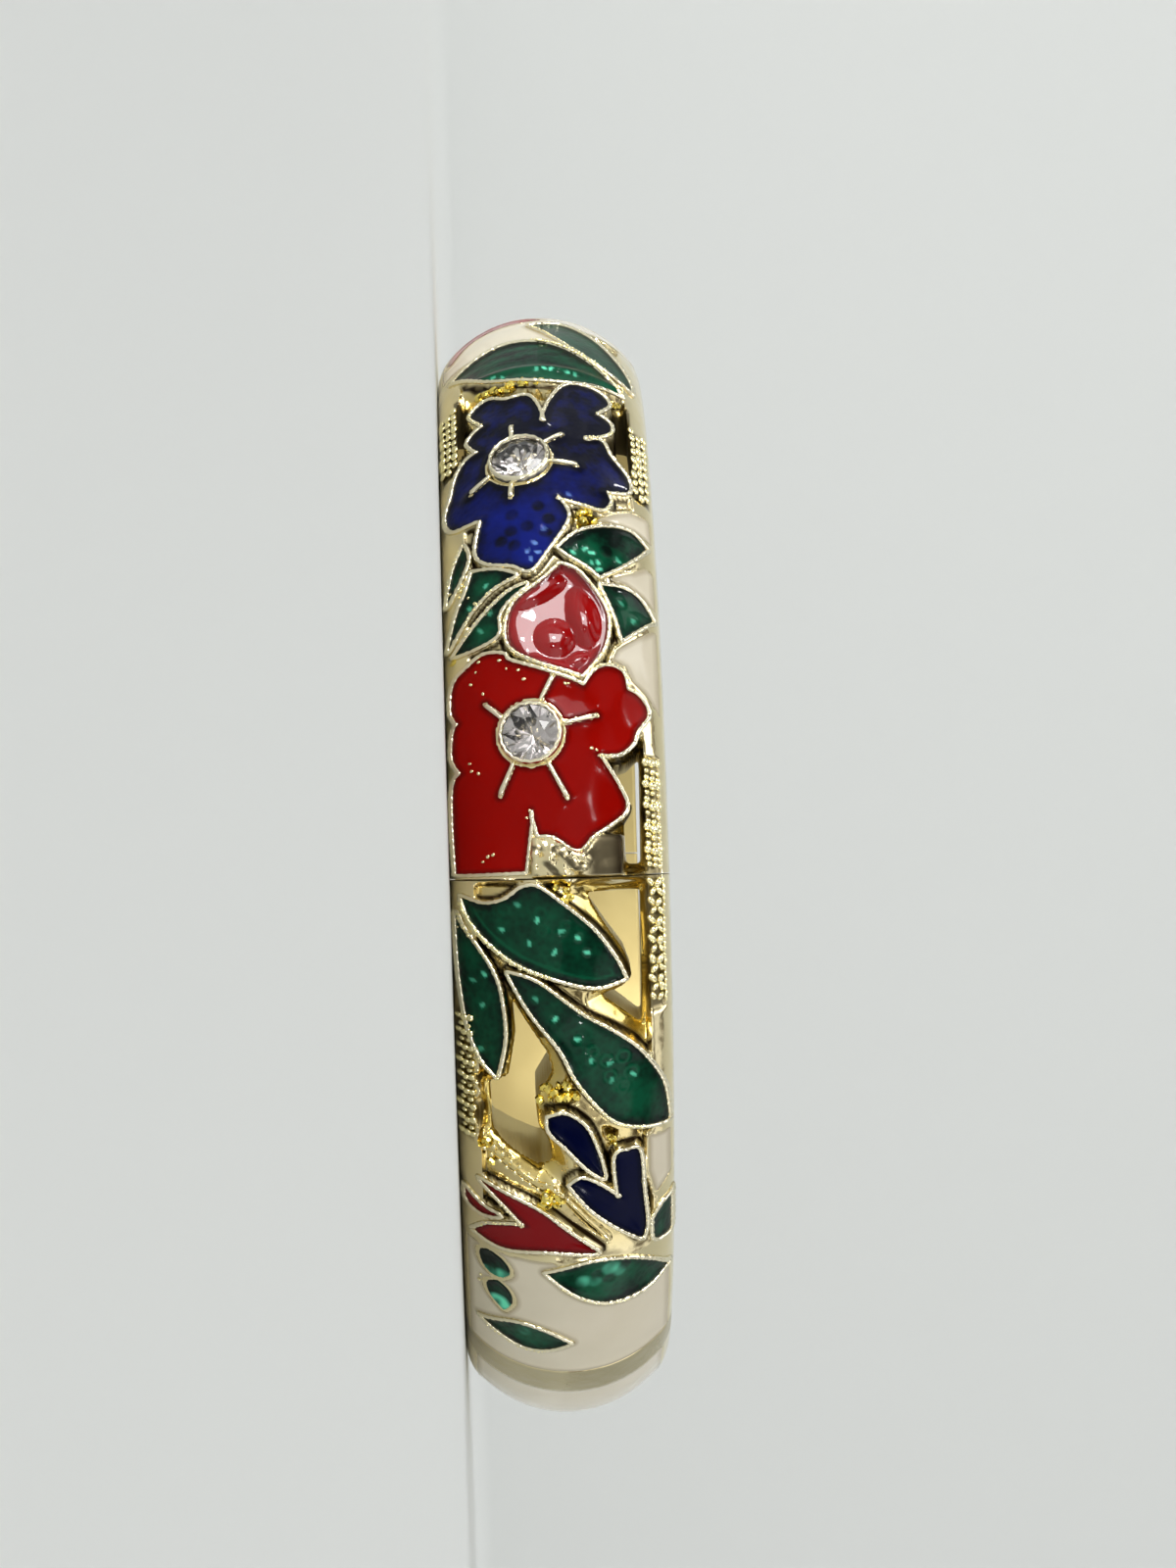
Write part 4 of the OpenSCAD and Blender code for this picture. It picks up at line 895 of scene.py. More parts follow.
# Marks in single cells: glints are [s, w, strength], pits [s, w], glows [s, w, radius, tone], rings and
# pale patches [s, w, radius, strength]. Glints and pale patches are painted highlights, rings are raised rims
# painted lighter as highlights, and glows make the tone lighter or darker, on leaf C and the blue flower as
# painted sheen and shade.
marks = {
    "leaf_h": {
        "paintedGlints": [[1.5, -2.6, 0.4], [2.4, -1.5, 0.8], [3.0, -3.6, 0.6], [3.8, -2.0, 0.6], [3.1, -0.1, 0.6],
            [3.5, 0.9, 1.0], [4.3, -0.5, 0.8], [4.4, 1.4, 0.9]],
        "glows": [[3.3, -0.8, 2.6, 0.15]],
        "rings": [[2.0, -1.3, 0.4, 0.25], [3.0, -1.2, 0.4, 0.2], [2.8, 0.2, 0.4, 0.2],
            [1.8, -3.4, 0.4, 0.15]],
    },
    "leaf_i": {
        "paintedGlints": [[5.8, -4.7, 0.8], [7.8, -4.9, 0.5], [6.3, -5.4, 0.4], [10.6, -5.0, 0.3]],
        "glows": [[4.6, -5.5, 1.2, 0.4], [9.6, -4.6, 1.5, 0.15]],
    },
    "leaf_j": {
        "paintedGlints": [[7.1, -1.7, 0.4], [8.3, -0.6, 0.9], [9.6, 0.7, 0.9], [11.0, 1.5, 0.6], [11.3, 2.6, 0.5],
            [12.3, 4.0, 0.7], [12.4, 2.7, 0.4]],
        "glows": [[12.8, 3.3, 0.8, 0.7], [12.9, 4.0, 0.6, 0.5], [14.0, 4.2, 1.4, 0.5],
            [10.4, 1.6, 2.4, 0.12]],
        "rings": [[11.0, 3.4, 0.5, 0.7], [12.1, 3.9, 0.5, 0.8], [12.1, 2.6, 0.45, 0.7],
            [11.1, 2.4, 0.45, 0.6], [10.4, 1.6, 0.4, 0.5], [12.9, 3.4, 0.5, 0.9]],
    },
    # painted sheen: the bright zone of glints and glows, and a painted dark band above it
    "leaf_c": {
        "paintedGlints": [[-20.2, 1.4, 0.8], [-20.5, 2.1, 0.7], [-20.3, 2.5, 1.0], [-19.7, 2.9, 0.9],
            [-19.2, 2.9, 0.8], [-20.2, 4.1, 0.5], [-19.6, 2.5, 0.6]],
        "glows": [[-20.0, 2.4, 1.3, 0.8], [-21.9, 3.7, 1.2, -0.5], [-20.2, 4.2, 0.8, 0.3],
            [-21.0, 1.6, 0.8, -0.3]],
        "pits": [[-20.6, 3.4]],
    },
    "leaf_d": {"paintedGlints": [[-17.2, 4.2, 0.3], [-16.2, 4.9, 0.4]], "glows": [[-16.4, 4.8, 0.8, 0.3]]},
    "leaf_f": {"paintedGlints": [[-17.4, -4.9, 0.5], [-18.6, -3.9, 0.6]], "glows": [[-18.6, -3.8, 0.9, 0.6]]},
    "leaf_g": {"paintedGlints": [[-15.6, -4.3, 0.4], [-16.6, -3.7, 0.4]], "glows": [[-15.4, -4.2, 1.2, 0.4]]},
    "leaf_a": {
        "paintedGlints": [[-36.5, 0.2, 0.9], [-36.4, 0.6, 1.0], [-36.2, 1.6, 0.7], [-36.1, 2.1, 0.5],
            [-36.5, -3.0, 0.5], [-36.2, -2.4, 0.5], [-36.4, -0.3, 0.6]],
    },
    "leaf_n": {
        "pits": [[26.4, 1.7], [26.2, 3.3], [27.0, 2.4]],
        "pale": [[26.8, 0.8, 0.6, 0.35], [26.1, 2.5, 0.7, 0.4], [26.6, 3.0, 0.5, 0.25],
            [27.0, 1.5, 0.5, 0.2]],
        "glows": [[26.9, 2.2, 2.2, 0.6], [28.6, 3.4, 1.5, -0.4]],
    },
    "leaf_o": {"glows": [[26.2, -4.8, 0.9, -0.5]], "pale": [[27.3, -4.0, 0.7, 0.5], [27.4, -4.9, 0.5, 0.4]]},
    "leaf_o_tip": {"glows": [[28.4, -4.4, 0.7, -0.3]], "pale": [[30.0, -4.3, 0.8, 1.0]]},
    "leaf_p": {"glows": [[32.4, -2.4, 1.3, 0.4]], "pale": [[32.2, -2.9, 0.5, 0.12]]},
    # painted sheen and shade: the lower petals painted a brighter blue, the upper ones darker
    "blue_flower": {
        "paintedGlints": [[-20.9, -0.9, 0.8], [-20.4, -1.3, 0.7], [-20.2, -0.7, 0.9], [-19.8, -1.1, 0.6],
            [-21.9, -0.3, 0.3], [-24.5, 1.3, 0.4]],
        "pits": [[-22.2, -1.3], [-22.6, 0.0], [-21.4, -2.9], [-20.9, -2.1], [-21.6, -0.2], [-23.6, -0.6],
            [-22.0, -2.3], [-23.2, -2.2]],
        "glows": [[-22.0, -1.4, 3.0, 0.55], [-25.2, 0.8, 1.8, 0.3], [-20.4, -1.0, 1.4, 0.6],
            [-23.8, -4.0, 1.6, 0.2], [-30.0, 0.5, 6.5, -0.4]],
    },
}


# Lobes of the bud: s, w, half length, half width, turn of the length from the band's line, height
budLobes = [[-17.5, -0.9, 2.2, 0.75, 118, 0.3], [-15.9, 1.9, 2.1, 1.0, 10, 0.4],
    [-14.5, 0.1, 1.25, 1.3, 20, 0.35], [-13.1, 1.5, 0.8, 0.5, 120, 0.3]]


# Places turned about [ds, dw]: along the turned line and across it
def turned(s, w, ds, dw, angle):
    return ((s - ds) * np.cos(angle) + (w - dw) * np.sin(angle),
        (w - dw) * np.cos(angle) - (s - ds) * np.sin(angle))


# Top of a fill: a shallow dish with folds, dimples and rings. Returns its lift, its tone from dark to lit,
# which carries painted sheen and shade, and how much painted glint each place has.
def enamelHeight(name, s, w, depth):
    e, mark = enamel, marks.get(name, {})
    lift = e["top"] - e["dish"] * (1 - np.exp(-depth / 0.35))
    tone, paintedGlint = np.zeros_like(s), np.zeros_like(s)

    # 1 at [ds, dw], falling to 0 at the radius
    def mound(ds, dw, radius):
        return np.clip(1 - ((s - ds) ** 2 + (w - dw) ** 2) / radius ** 2, 0, 1)

    # painted glints: each a dimple, a lighter tone round it and a bright painted spot
    for k, (ds, dw, strength) in enumerate(mark.get("paintedGlints", [])):
        near = mound(ds, dw, e["dimple"])
        lift = lift - 0.06 * near ** 1.5
        tone = tone + 0.45 * near
        u, v = turned(s, w, ds, dw, 0.7 + 1.9 * k)
        spot = 1 - (u / e["paintedGlint"][0]) ** 2 - ((v + 0.8 * u * u) / e["paintedGlint"][1]) ** 2
        spot = spot + 0.3 * waves(s, w, 0.35, 5)
        paintedGlint = np.maximum(paintedGlint, strength * np.clip(1.7 * spot, 0, 1))
    for ds, dw in mark.get("pits", []):
        near = mound(ds, dw, e["pit"])
        lift = lift - 0.04 * near ** 1.5
        tone = tone - e["pitTone"] * ease(near, 0.0, 0.7)
    # glows: lighter or darker tone, on some cells painted sheen and shade
    for ds, dw, radius, amount in mark.get("glows", []):
        tone = tone + amount * mound(ds, dw, radius)
    # rings: a raised rim painted lighter, a painted highlight
    for ds, dw, radius, strength in mark.get("rings", []):
        ring = np.clip(1 - (np.hypot(s - ds, w - dw) - radius * 0.75) ** 2 / 0.014, 0, 1)
        lift = lift + 0.04 * ring
        tone = tone + strength * ring
    # pale patches: painted highlights
    for ds, dw, radius, strength in mark.get("pale", []):
        cloudy = 0.8 + 0.4 * waves(s, w, 0.9, 9)
        paintedGlint = np.maximum(paintedGlint, strength * ease(mound(ds, dw, radius), 0.0, 0.9) * cloudy)
    if name == "leaf_h":     # a fine painted light line beside the lower border, a painted reflection on the glass's edge
        lower = ease(s - 2.8 - 0.48 * (w + 2.4), 0.0, 0.8)
        tone = tone + 0.8 * lower * np.exp(-((depth - 0.42) / 0.08) ** 2)
    if name == "leaf_a":     # a crease along the leaf; the strip below it is painted brighter and the part above darker, painted light and shade on the crease's two sides
        fold = s + 36.6 - 0.08 * w
        lift = lift + 0.12 * np.exp(-(fold / 0.35) ** 2)
        tone = tone + 0.35 * ease(fold, -0.05, 0.1) - 0.15 * ease(-fold, 0.0, 0.3)
        tone = tone + 0.2 * waves(2 * s, 0.4 * w, 1.6, 4)
    if name == "red_bud":     # its ground is level across, and rounded lobes stand on it
        v = w - 0.4
        ripple = np.sin(2.3 * v + 1.5 * np.sin(1.3 * s)) * 0.5 + np.sin(1.9 * s - 1.4 * v + 0.6) * 0.5
        lobes = np.zeros_like(s)
        for ds, dw, longHalf, shortHalf, degrees, height in budLobes:
            along, across = turned(s, w, ds, dw, np.radians(degrees))
            lobe = height * np.clip(1 - (along / longHalf) ** 2 - (across / shortHalf) ** 2, 0, 1)
            lobes = np.maximum(lobes, lobe)
        lift = lift + (0.066 * v * v - 0.06 * v - 0.35 + 0.045 * ripple + lobes) * (1 - np.exp(-depth / 0.25))
    return lift, tone, np.clip(paintedGlint, 0, 1)


# Fill of one cell: a closed sheet from under its wire to its thickness, its border snapped to the cell's edge
def makeFill(name):
    node, e = name + "_enamel", enamel
    half, back = halfOf[node], name in backStart
    cols = domeColumns(*(e["backPitch"], e["backShoulder"]) if back else (e["pitch"], e["shoulderPitch"]))
    low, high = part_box(node)
    cols = cols[(cols > low.z / mm - halfWidth - 0.4) & (cols < high.z / mm - halfWidth + 0.4)]
    if back:
        start = backStart[name]
        rows = evenRows(start - 0.3, [(start + 1, 0.12), (backStop - 1, 0.6), (backStop + 0.3, 0.12)])
        edges = [-backHalf - 0.1, -backHalf, backHalf, backHalf + 0.1]
        cols = np.unique(np.concatenate([cols, edges]))
    else:
        guess = np.linspace(0.2, 50.4, 503)
        side = -1 if half == "flower_half" else 1
        touched = guess[(cellDistance(name, *np.meshgrid(side * guess, cols, indexing="ij")) < 0.2).any(1)]
        rows = np.arange(max(touched.min() - 0.3, 0.06), touched.max() + 0.3, e["pitch"])
    s, w = placesOn(half, rows, cols)
    d = cellDistance(name, s, w)
    keep = (d[:-1, :-1] + d[1:, :-1] + d[1:, 1:] + d[:-1, 1:]) / 4 < e["reach"]
    s, w = snapToLine(s, w, d, keep, e["reach"])
    depth = np.clip(-d, 0, 3)
    lift, tone, paintedGlint = enamelHeight(name, s, w, depth)
    top = bandPoint(s, w, lift - 0.6 * np.clip(d, 0, e["reach"]))
    points, faces, source, upper = closedSheet(top, bandPoint(s, w, -e["thickness"]), keep)
    attributes = {"edge": depth.ravel()[source], "tone": tone.ravel()[source], "paintedGlint": paintedGlint.ravel()[source]}
    piece = makeMesh(name + "_glaze", points, faces, sharpDegrees=60, attributes=attributes)
    finishPiece(piece, finishes[finishOf(name)], half, node)
    return len(faces) * 2


print("enamel fills", sum(makeFill(name) for name in cells), "triangles")

# Stones: a brilliant with eight main facets over a foiled cone, each ring a radius and a height, in a bezel of
# bright metal whose profile is radius and height, with beads round its upper part
stoneCut = {"table": [0.86, 0.5], "star": [1.28, 0.32], "girdle": [1.66, 0.1], "middle": [0.86, -0.72],
    "girdleDepth": 0.08, "culet": -1.25}
bezel = {
    "profile": [(1.68, -0.7), (1.68, 0.12), (1.65, 0.22), (1.67, 0.32), (1.72, 0.38), (1.79, 0.38),
        (1.86, 0.3), (1.9, 0.12), (1.92, -0.1), (1.94, -0.7)],
    "beads": {"size": 0.03, "count": 20, "from": 0.15},
    "steps": 84,
}


def stoneFaces(cut):
    def ring(name, count, shift=0.0):
        angle = (np.arange(count) + shift) * 2 * np.pi / count
        radius, height = cut[name]
        return np.stack([radius * np.cos(angle), radius * np.sin(angle), 0 * angle + height], 1)

    girdle = ring("girdle", 16)
    points = np.vstack([ring("table", 8), ring("star", 8, 0.5), girdle, girdle - [0, 0, cut["girdleDepth"]],
        ring("middle", 8, 0.5), [[0, 0, cut["culet"]]]])
    faces = [list(range(8))]
    for k in range(8):
        g0, g1, g2 = 16 + 2 * k, 16 + (2 * k + 1) % 16, 16 + (2 * k + 2) % 16
        faces += [[k, 8 + k, (k + 1) % 8], [8 + k, g0, g1], [8 + k, g1, g2], [k, 8 + (k - 1) % 8, g0, 8 + k]]
    crownCount = len(faces)
    for k in range(16):
        a, b = 16 + k, 16 + (k + 1) % 16
        faces += [[a, a + 16, b + 16, b], [a + 16, 48 + k // 2, b + 16]]
    for k in range(8):
        faces += [[32 + (2 * k + 2) % 16, 48 + k, 56], [32 + (2 * k + 2) % 16, 56, 48 + (k + 1) % 8]]
    return points, faces, crownCount


for name, flower in flowers.items():
    centre, along, across, out = domeFrame(*flower["centre"])
    points, faces, crownCount = stoneFaces(stoneCut)
    piece = makeMesh(name + "_crystal", centre + points @ np.stack([along, across, out]), faces, smooth=False)
    finishPiece(piece, crystal, "flower_half", name + "_stone", foil, crownCount)
    rim = revolve(bezel["profile"], centre, along, across, out, bezel["steps"], bezel["beads"])
    finishPiece(makeMesh(name + "_bezel", *rim, sharpDegrees=70), gilt["wire"], "flower_half")
print("stones set")


# Three staggered rows of flat grains
def strip(first, last, w):
    return [[start, last, 0.72, w + across, 0.64, 0.36, 0.3, 0]
        for start, across in ((first, -0.36), (first + 0.36, 0), (first, 0.36))]


# Rails of cast grains. A row is first s, last s, pitch, w, then the length, width and height of a grain and
# its turn in degrees. Every grain is a little off in place and size.
rails = {
    "left_upper_grains": strip(-35.2, -28.8, -5.8),
    "right_upper_grains": strip(-32.2, -26.0, 5.7),
    "right_seam_grains_upper": [
        [-7.0, -0.5, 1.35, 5.1, 0.6, 0.48, 0.42, 10], [-6.9, -0.5, 1.35, 5.5, 0.56, 0.5, 0.46, 0],
        [-7.0, -0.5, 1.35, 5.85, 0.6, 0.42, 0.38, -10], [-6.5, -0.3, 0.45, 5.15, 0.38, 0.32, 0.28, 30],
        [-6.4, -0.3, 0.45, 5.5, 0.38, 0.32, 0.32, -20], [-6.3, -0.3, 0.45, 5.82, 0.38, 0.32, 0.28, 15]],
    "right_seam_grains_lower": [
        [0.4, 8.0, 1.2, 5.2, 0.7, 0.36, 0.38, 24], [0.5, 8.0, 1.2, 5.65, 0.66, 0.34, 0.38, -18],
        [1.0, 8.0, 1.2, 5.32, 0.6, 0.32, 0.34, -30], [1.05, 8.0, 1.2, 5.75, 0.62, 0.3, 0.34, 22],
        [0.4, 8.2, 0.4, 5.96, 0.5, 0.16, 0.24, 0]],
    "left_lower_grains": [
        [8.7, 16.9, 1.0, -6.16, 0.46, 0.4, 0.36, 12], [8.75, 16.9, 1.0, -5.82, 0.46, 0.42, 0.42, 0],
        [8.7, 16.9, 1.0, -5.48, 0.44, 0.38, 0.38, -12], [9.2, 16.9, 1.0, -6.0, 0.32, 0.28, 0.26, 30],
        [9.25, 16.9, 1.0, -5.6, 0.32, 0.28, 0.26, -25]],
    "band_bar_grains": [
        [17.0, 19.9, 0.3, None, 0.3, 0.24, 0.26, 40], [17.0, 20.2, 0.34, None, 0.3, 0.26, 0.24, 0]],
}


# Grains: unit balls of latitude rings, stretched along, across and outwards, turned on the chart and carried
# onto the band, so that they follow its curve
def grainsAt(s, w, lift, length, width, height, degrees, steps=8, levels=5):
    tilt = np.linspace(0, np.pi, levels + 1)[1:-1, None]
    turn = np.arange(steps) * 2 * np.pi / steps
    ring = np.stack([np.sin(tilt) * np.cos(turn), np.sin(tilt) * np.sin(turn), np.cos(tilt) + 0 * turn], -1)
    ball = np.vstack([ring.reshape(-1, 3), [[0, 0, 1], [0, 0, -1]]])
    along, across = ball[:, 0] * length[:, None] / 2, ball[:, 1] * width[:, None] / 2
    c, k = np.cos(np.radians(degrees))[:, None], np.sin(np.radians(degrees))[:, None]
    points = bandPoint(s[:, None] + along * c - across * k, w[:, None] + along * k + across * c,
        lift[:, None] + ball[:, 2] * height[:, None] / 2)
    j, last, pole = np.arange(steps), (levels - 2) * steps, len(ball) - 2
    after = (j + 1) % steps
    caps = np.vstack([np.stack([0 * j + pole, j, after], -1),
        np.stack([0 * j + pole + 1, last + after, last + j], -1)])
    shift = (np.arange(len(s)) * len(ball))[:, None, None]
    quads = tubeQuads(levels - 1, steps, closed=False)
    faces = (quads + shift).reshape(-1, 4).tolist() + (caps + shift).reshape(-1, 3).tolist()
    return points.reshape(-1, 3), faces


# Sides of the broad raised bar
barEdges = {"s": [16.9, 19.9], "left": [-5.5, -1.1], "right": [-4.5, -0.1]}
for name, rows in rails.items():
    rng = np.random.default_rng(len(name))
    parts = []
    for row, (first, last, pitch, middle, length, width, height, degrees) in enumerate(rows):
        s = np.arange(first, last + 0.01, pitch)
        w = np.full(len(s), middle or 0.0)
        if middle is None:
            w = np.interp(s, barEdges["s"], barEdges["left" if row == 0 else "right"])
        s, w = s + rng.uniform(-0.05, 0.05, len(s)), w + rng.uniform(-0.03, 0.03, len(s))
        size = rng.uniform(0.85, 1.15, len(s))
        parts.append(grainsAt(s, w, 0.05 + 0 * s, length * size, width * size, height * size,
            degrees + rng.uniform(-12, 12, len(s))))
    points, faces = joined(parts)
    half = "flower_half" if rows[0][0] < 0 else "leaf_half"
    finishPiece(makeMesh(name, points, faces), gilt["grain"], half)
    print(name, len(faces) * 2, "triangles")

# Clusters of bright facetted nuggets between the cells: s, w, spread along and across, count, size
nuggets = {
    "flower_half": [(-35.1, -1.9, 0.12, 2.1, 22, 0.8), (-22.9, 2.3, 0.5, 0.7, 8, 0.8),
        (-14.3, -6.1, 0.5, 0.2, 5, 0.7), (-34.6, 4.3, 0.5, 0.5, 5, 0.6), (-17.0, -1.8, 0.3, 0.2, 4, 0.4)],
    "leaf_half": [(13.0, -0.4, 0.5, 1.3, 14, 0.8), (0.9, 0.2, 0.4, 0.6, 7, 0.7),
        (20.4, -0.9, 0.6, 0.6, 8, 0.9), (16.4, 2.5, 0.3, 0.4, 5, 0.6), (17.6, -4.9, 0.8, 0.3, 6, 0.7)],
}
for half, clusters in nuggets.items():
    rng = np.random.default_rng(23)
    parts = []
    for s, w, alongSpread, acrossSpread, count, size in clusters:
        places = rng.uniform(-1, 1, (count, 2)) * [alongSpread, acrossSpread] + [s, w]
        length, width, height = size * rng.uniform(0.5, 1.1, (3, count))
        parts.append(grainsAt(*places.T, rng.uniform(-0.45, -0.1, count), length, width * 0.8, height * 0.7,
            rng.uniform(0, 180, count), 6, 4))
    piece = makeMesh(half + "_bright_nuggets", *joined(parts), smooth=False)
    finishPiece(piece, gilt["nugget"], half)

# Bright specks along stretches of the wires, from one place on the border to another in the outline's order,
# then their pitch and size
specks = [
    ("leaf_h", [5.6, -0.8], [1.4, -5.7], 0.12, 0.24), ("leaf_i", [2.2, -6.1], [5.0, -4.5], 0.24, 0.15),
    ("leaf_i", [11.8, -4.0], [10.6, -5.2], 0.22, 0.16), ("leaf_e", [-22.0, -5.1], [-19.0, -6.0], 0.3, 0.14),
    ("leaf_f", [-16.5, -5.2], [-18.6, -2.4], 0.28, 0.15), ("leaf_g", [-18.0, -1.4], [-15.0, -5.4], 0.3, 0.14),
    ("red_bud", [-19.2, 0.6], [-12.6, 0.2], 0.22, 0.15), ("red_bud", [-12.4, 1.8], [-18.9, 1.4], 0.22, 0.15),
    ("red_spray", [23.6, -5.1], [21.0, -4.2], 0.24, 0.15), ("leaf_n", [29.1, 3.5], [27.0, -0.6], 0.26, 0.13),
    ("leaf_p", [33.5, -1.6], [33.0, -5.0], 0.26, 0.13), ("red_flower", [-3.6, 3.6], [-2.0, 0.4], 0.26, 0.14),
    ("red_flower", [-12.2, 2.5], [-11.2, 4.6], 0.24, 0.14),
    ("red_flower", [-7.6, 3.0], [-6.4, 2.8], 0.2, 0.16),
    ("blue_flower", [-33.8, -3.6], [-31.6, -3.6], 0.24, 0.14),
    ("blue_flower", [-24.2, 0.6], [-25.4, 3.6], 0.22, 0.15),
    ("blue_flower", [-29.4, 3.2], [-31.0, 4.0], 0.24, 0.14),
    ("leaf_a", [-40.3, -0.5], [-35.8, 4.8], 0.16, 0.24), ("leaf_b", [-44.1, -0.4], [-38.0, 4.2], 0.26, 0.14),
    ("leaf_j", [15.9, 4.6], [12.0, 0.6], 0.2, 0.17), ("leaf_j", [6.2, -1.5], [9.4, 2.8], 0.24, 0.15),
]
# Single specks that lie on the enamel and the ground
dots = {
    "flower_half": [[-13.5, -4.4], [-12.9, -4.6], [-13.3, -3.2], [-12.7, -2.8], [-12.5, -2.1], [-12.2, -4.9],
        [-11.4, -4.2], [-12.9, -1.7], [-1.4, -4.2], [-1.1, -4.5], [-1.5, -3.9], [-6.7, -5.0], [-7.2, -5.1],
        [-6.5, -4.6], [-7.5, 2.3], [-7.6, 2.0], [-6.9, 2.8], [-20.4, -4.9], [-19.2, -5.3], [-18.9, -5.4],
        [-18.5, -5.5], [-18.1, -4.9], [-17.5, -4.5], [-19.1, -6.0], [-17.5, -5.6], [-11.5, 0.6], [-11.5, 0.8],
        [-11.9, -1.8], [-4.0, -1.7], [-3.7, -1.6], [-3.6, -1.9], [-2.9, 2.8], [-2.5, 2.3], [-2.2, 1.9],
        [-1.7, 1.6], [-1.4, 1.3]],
    "leaf_half": [[0.9, -5.8], [2.2, -6.2], [3.0, -6.1], [20.2, -0.9], [20.5, -0.6], [28.3, -5.4],
        [28.9, -5.5]],
}
finestStep = 0.04
for half, places in dots.items():
    rng = np.random.default_rng(11)
    parts = []
    for cell, start, end, pitch, size in specks:
        if halfOf[cell + "_enamel"] == half:
            path, at = offsetPath(roundedOutline(cell, 8), wire["radius"], finestStep)
            first, last = (int(np.hypot(*(path - place).T).argmin()) for place in (start, end))
            step = max(int(pitch / finestStep), 1)
            run = path[np.arange(first, last + len(path) * (last < first), step) % len(path)]
            s, w = (run + rng.uniform(-0.04, 0.04, run.shape)).T
            wide = size * rng.uniform(0.7, 1.3, len(s))
            turn = rng.uniform(0, 180, len(s))
            parts.append(grainsAt(s, w, 0.1 + 0 * s, wide * 1.3, wide, wide, turn, 6, 4))
    s, w = np.array(places).T
    wide = rng.uniform(0.12, 0.26, len(s))
    parts.append(grainsAt(s, w, 0 * s, wide * 1.3, wide, wide * 0.8, rng.uniform(0, 180, len(s)), 6, 4))
    finishPiece(makeMesh(half + "_bright_specks", *joined(parts)), gilt["grain"], half)
print("grains placed")

# Studio: pale sweep, soft light from the picture's top, and the camera at the photograph's angle
studio = {"floor": "#E2E5E3", "sweepDistance": 0.9, "sweepRadius": 0.4, "sweepHeight": 2.4, "halfWidth": 3.0}
view = {"distance": 276.0, "lens": 97.25, "pitch": -1.5, "yaw": -0.95, "roll": 1.77,
    "aimRight": 2.34, "aimUp": 5.27}


# Paper that lies flat, bends up in a quarter circle and stands behind
def sweepFloor():
    r, y = studio["sweepRadius"], studio["sweepDistance"]
    angle = np.linspace(0, np.pi / 2, 25)
    ys = np.concatenate([[-3.0, -1.0, 0.0], y - r + r * np.sin(angle), [y]])
    zs = np.concatenate([[0, 0, 0], r - r * np.cos(angle), [studio["sweepHeight"]]])
    xs = np.linspace(-studio["halfWidth"], studio["halfWidth"], 9)
    x, k = np.meshgrid(xs, np.arange(len(ys)), indexing="ij")
    points = np.stack([x, ys[k], zs[k]], -1) / mm
    piece = makeMesh("studio_sweep", points.reshape(-1, 3), squareCorners(x.shape).reshape(-1, 4))
    paper = evenMaterial("pale_paper_sweep", {"Base Color": linear(studio["floor"]), "Roughness": 0.8})
    piece.data.materials.append(paper)


def rotated(vector, axis, degrees):
    t = np.radians(degrees)
    return vector * np.cos(t) + np.cross(axis, vector) * np.sin(t) + axis * (axis @ vector) * (1 - np.cos(t))


# The camera faces the crown at the clasp, the band upright, then turns about its right, up and forward axes
def placeCamera():
    axes = np.array([[0, 0, 1.0], [-1.0, 0, 0], [0, 1.0, 0]])
    for k, turn in enumerate(("pitch", "yaw", "roll")):
        axes = [rotated(direction, axes[k], view[turn]) for direction in axes]
    right, up, forward = axes
    middle = np.array([0, 0, halfWidth])
    eye = middle - forward * view["distance"]
    forward = middle + right * view["aimRight"] + up * view["aimUp"] - eye
    forward = forward / np.linalg.norm(forward)
    right = np.cross(forward, up)
    right /= np.linalg.norm(right)
    camera = bpy.data.cameras.new("camera")
    camera.lens, camera.sensor_width, camera.clip_start = view["lens"], 36, 0.01
    holder = bpy.data.objects.new("camera", camera)
    matrix = np.eye(4)
    matrix[:3] = np.stack([right, np.cross(right, forward), -forward, eye * mm], 1)
    holder.matrix_world = Matrix(matrix.tolist())
    bpy.context.scene.collection.objects.link(holder)
    bpy.context.scene.camera = holder
    print("camera height above the floor", round(float(eye[2]), 2), "mm")


def softLight(name, place, size, power, target=(0, 0, 0.0065), mirrored=True, lighting=True):
    light = bpy.data.lights.new(name, "AREA")
    light.shape = "RECTANGLE"
    light.size, light.size_y = size
    light.energy = power
    holder = bpy.data.objects.new(name, light)
    holder.visible_glossy, holder.visible_diffuse = mirrored, lighting
    holder.location = place
    holder.rotation_euler = (Vector(target) - Vector(place)).to_track_quat("-Z", "Y").to_euler()
    bpy.context.scene.collection.objects.link(holder)


# Soft room light by direction: turn is 0 behind the camera, 90 towards the picture's top and 180 behind the
# bangle. Stops are [turn in degrees, brightness], and soft patches of noise break the light up.
room = [[-180, 0.8], [-120, 0.95], [-88, 1.1], [-58, 0.4], [-40, 0.65], [-26, 0.16], [-10, 0.5], [6, 0.52],
    [22, 0.14], [36, 0.4], [56, 0.2], [72, 0.8], [92, 1.25], [125, 0.95], [180, 0.8]]
patches = {"scale": 2.6, "dim": 0.15, "bright": 1.5, "shade": "#C9B598", "seed": 3.0}


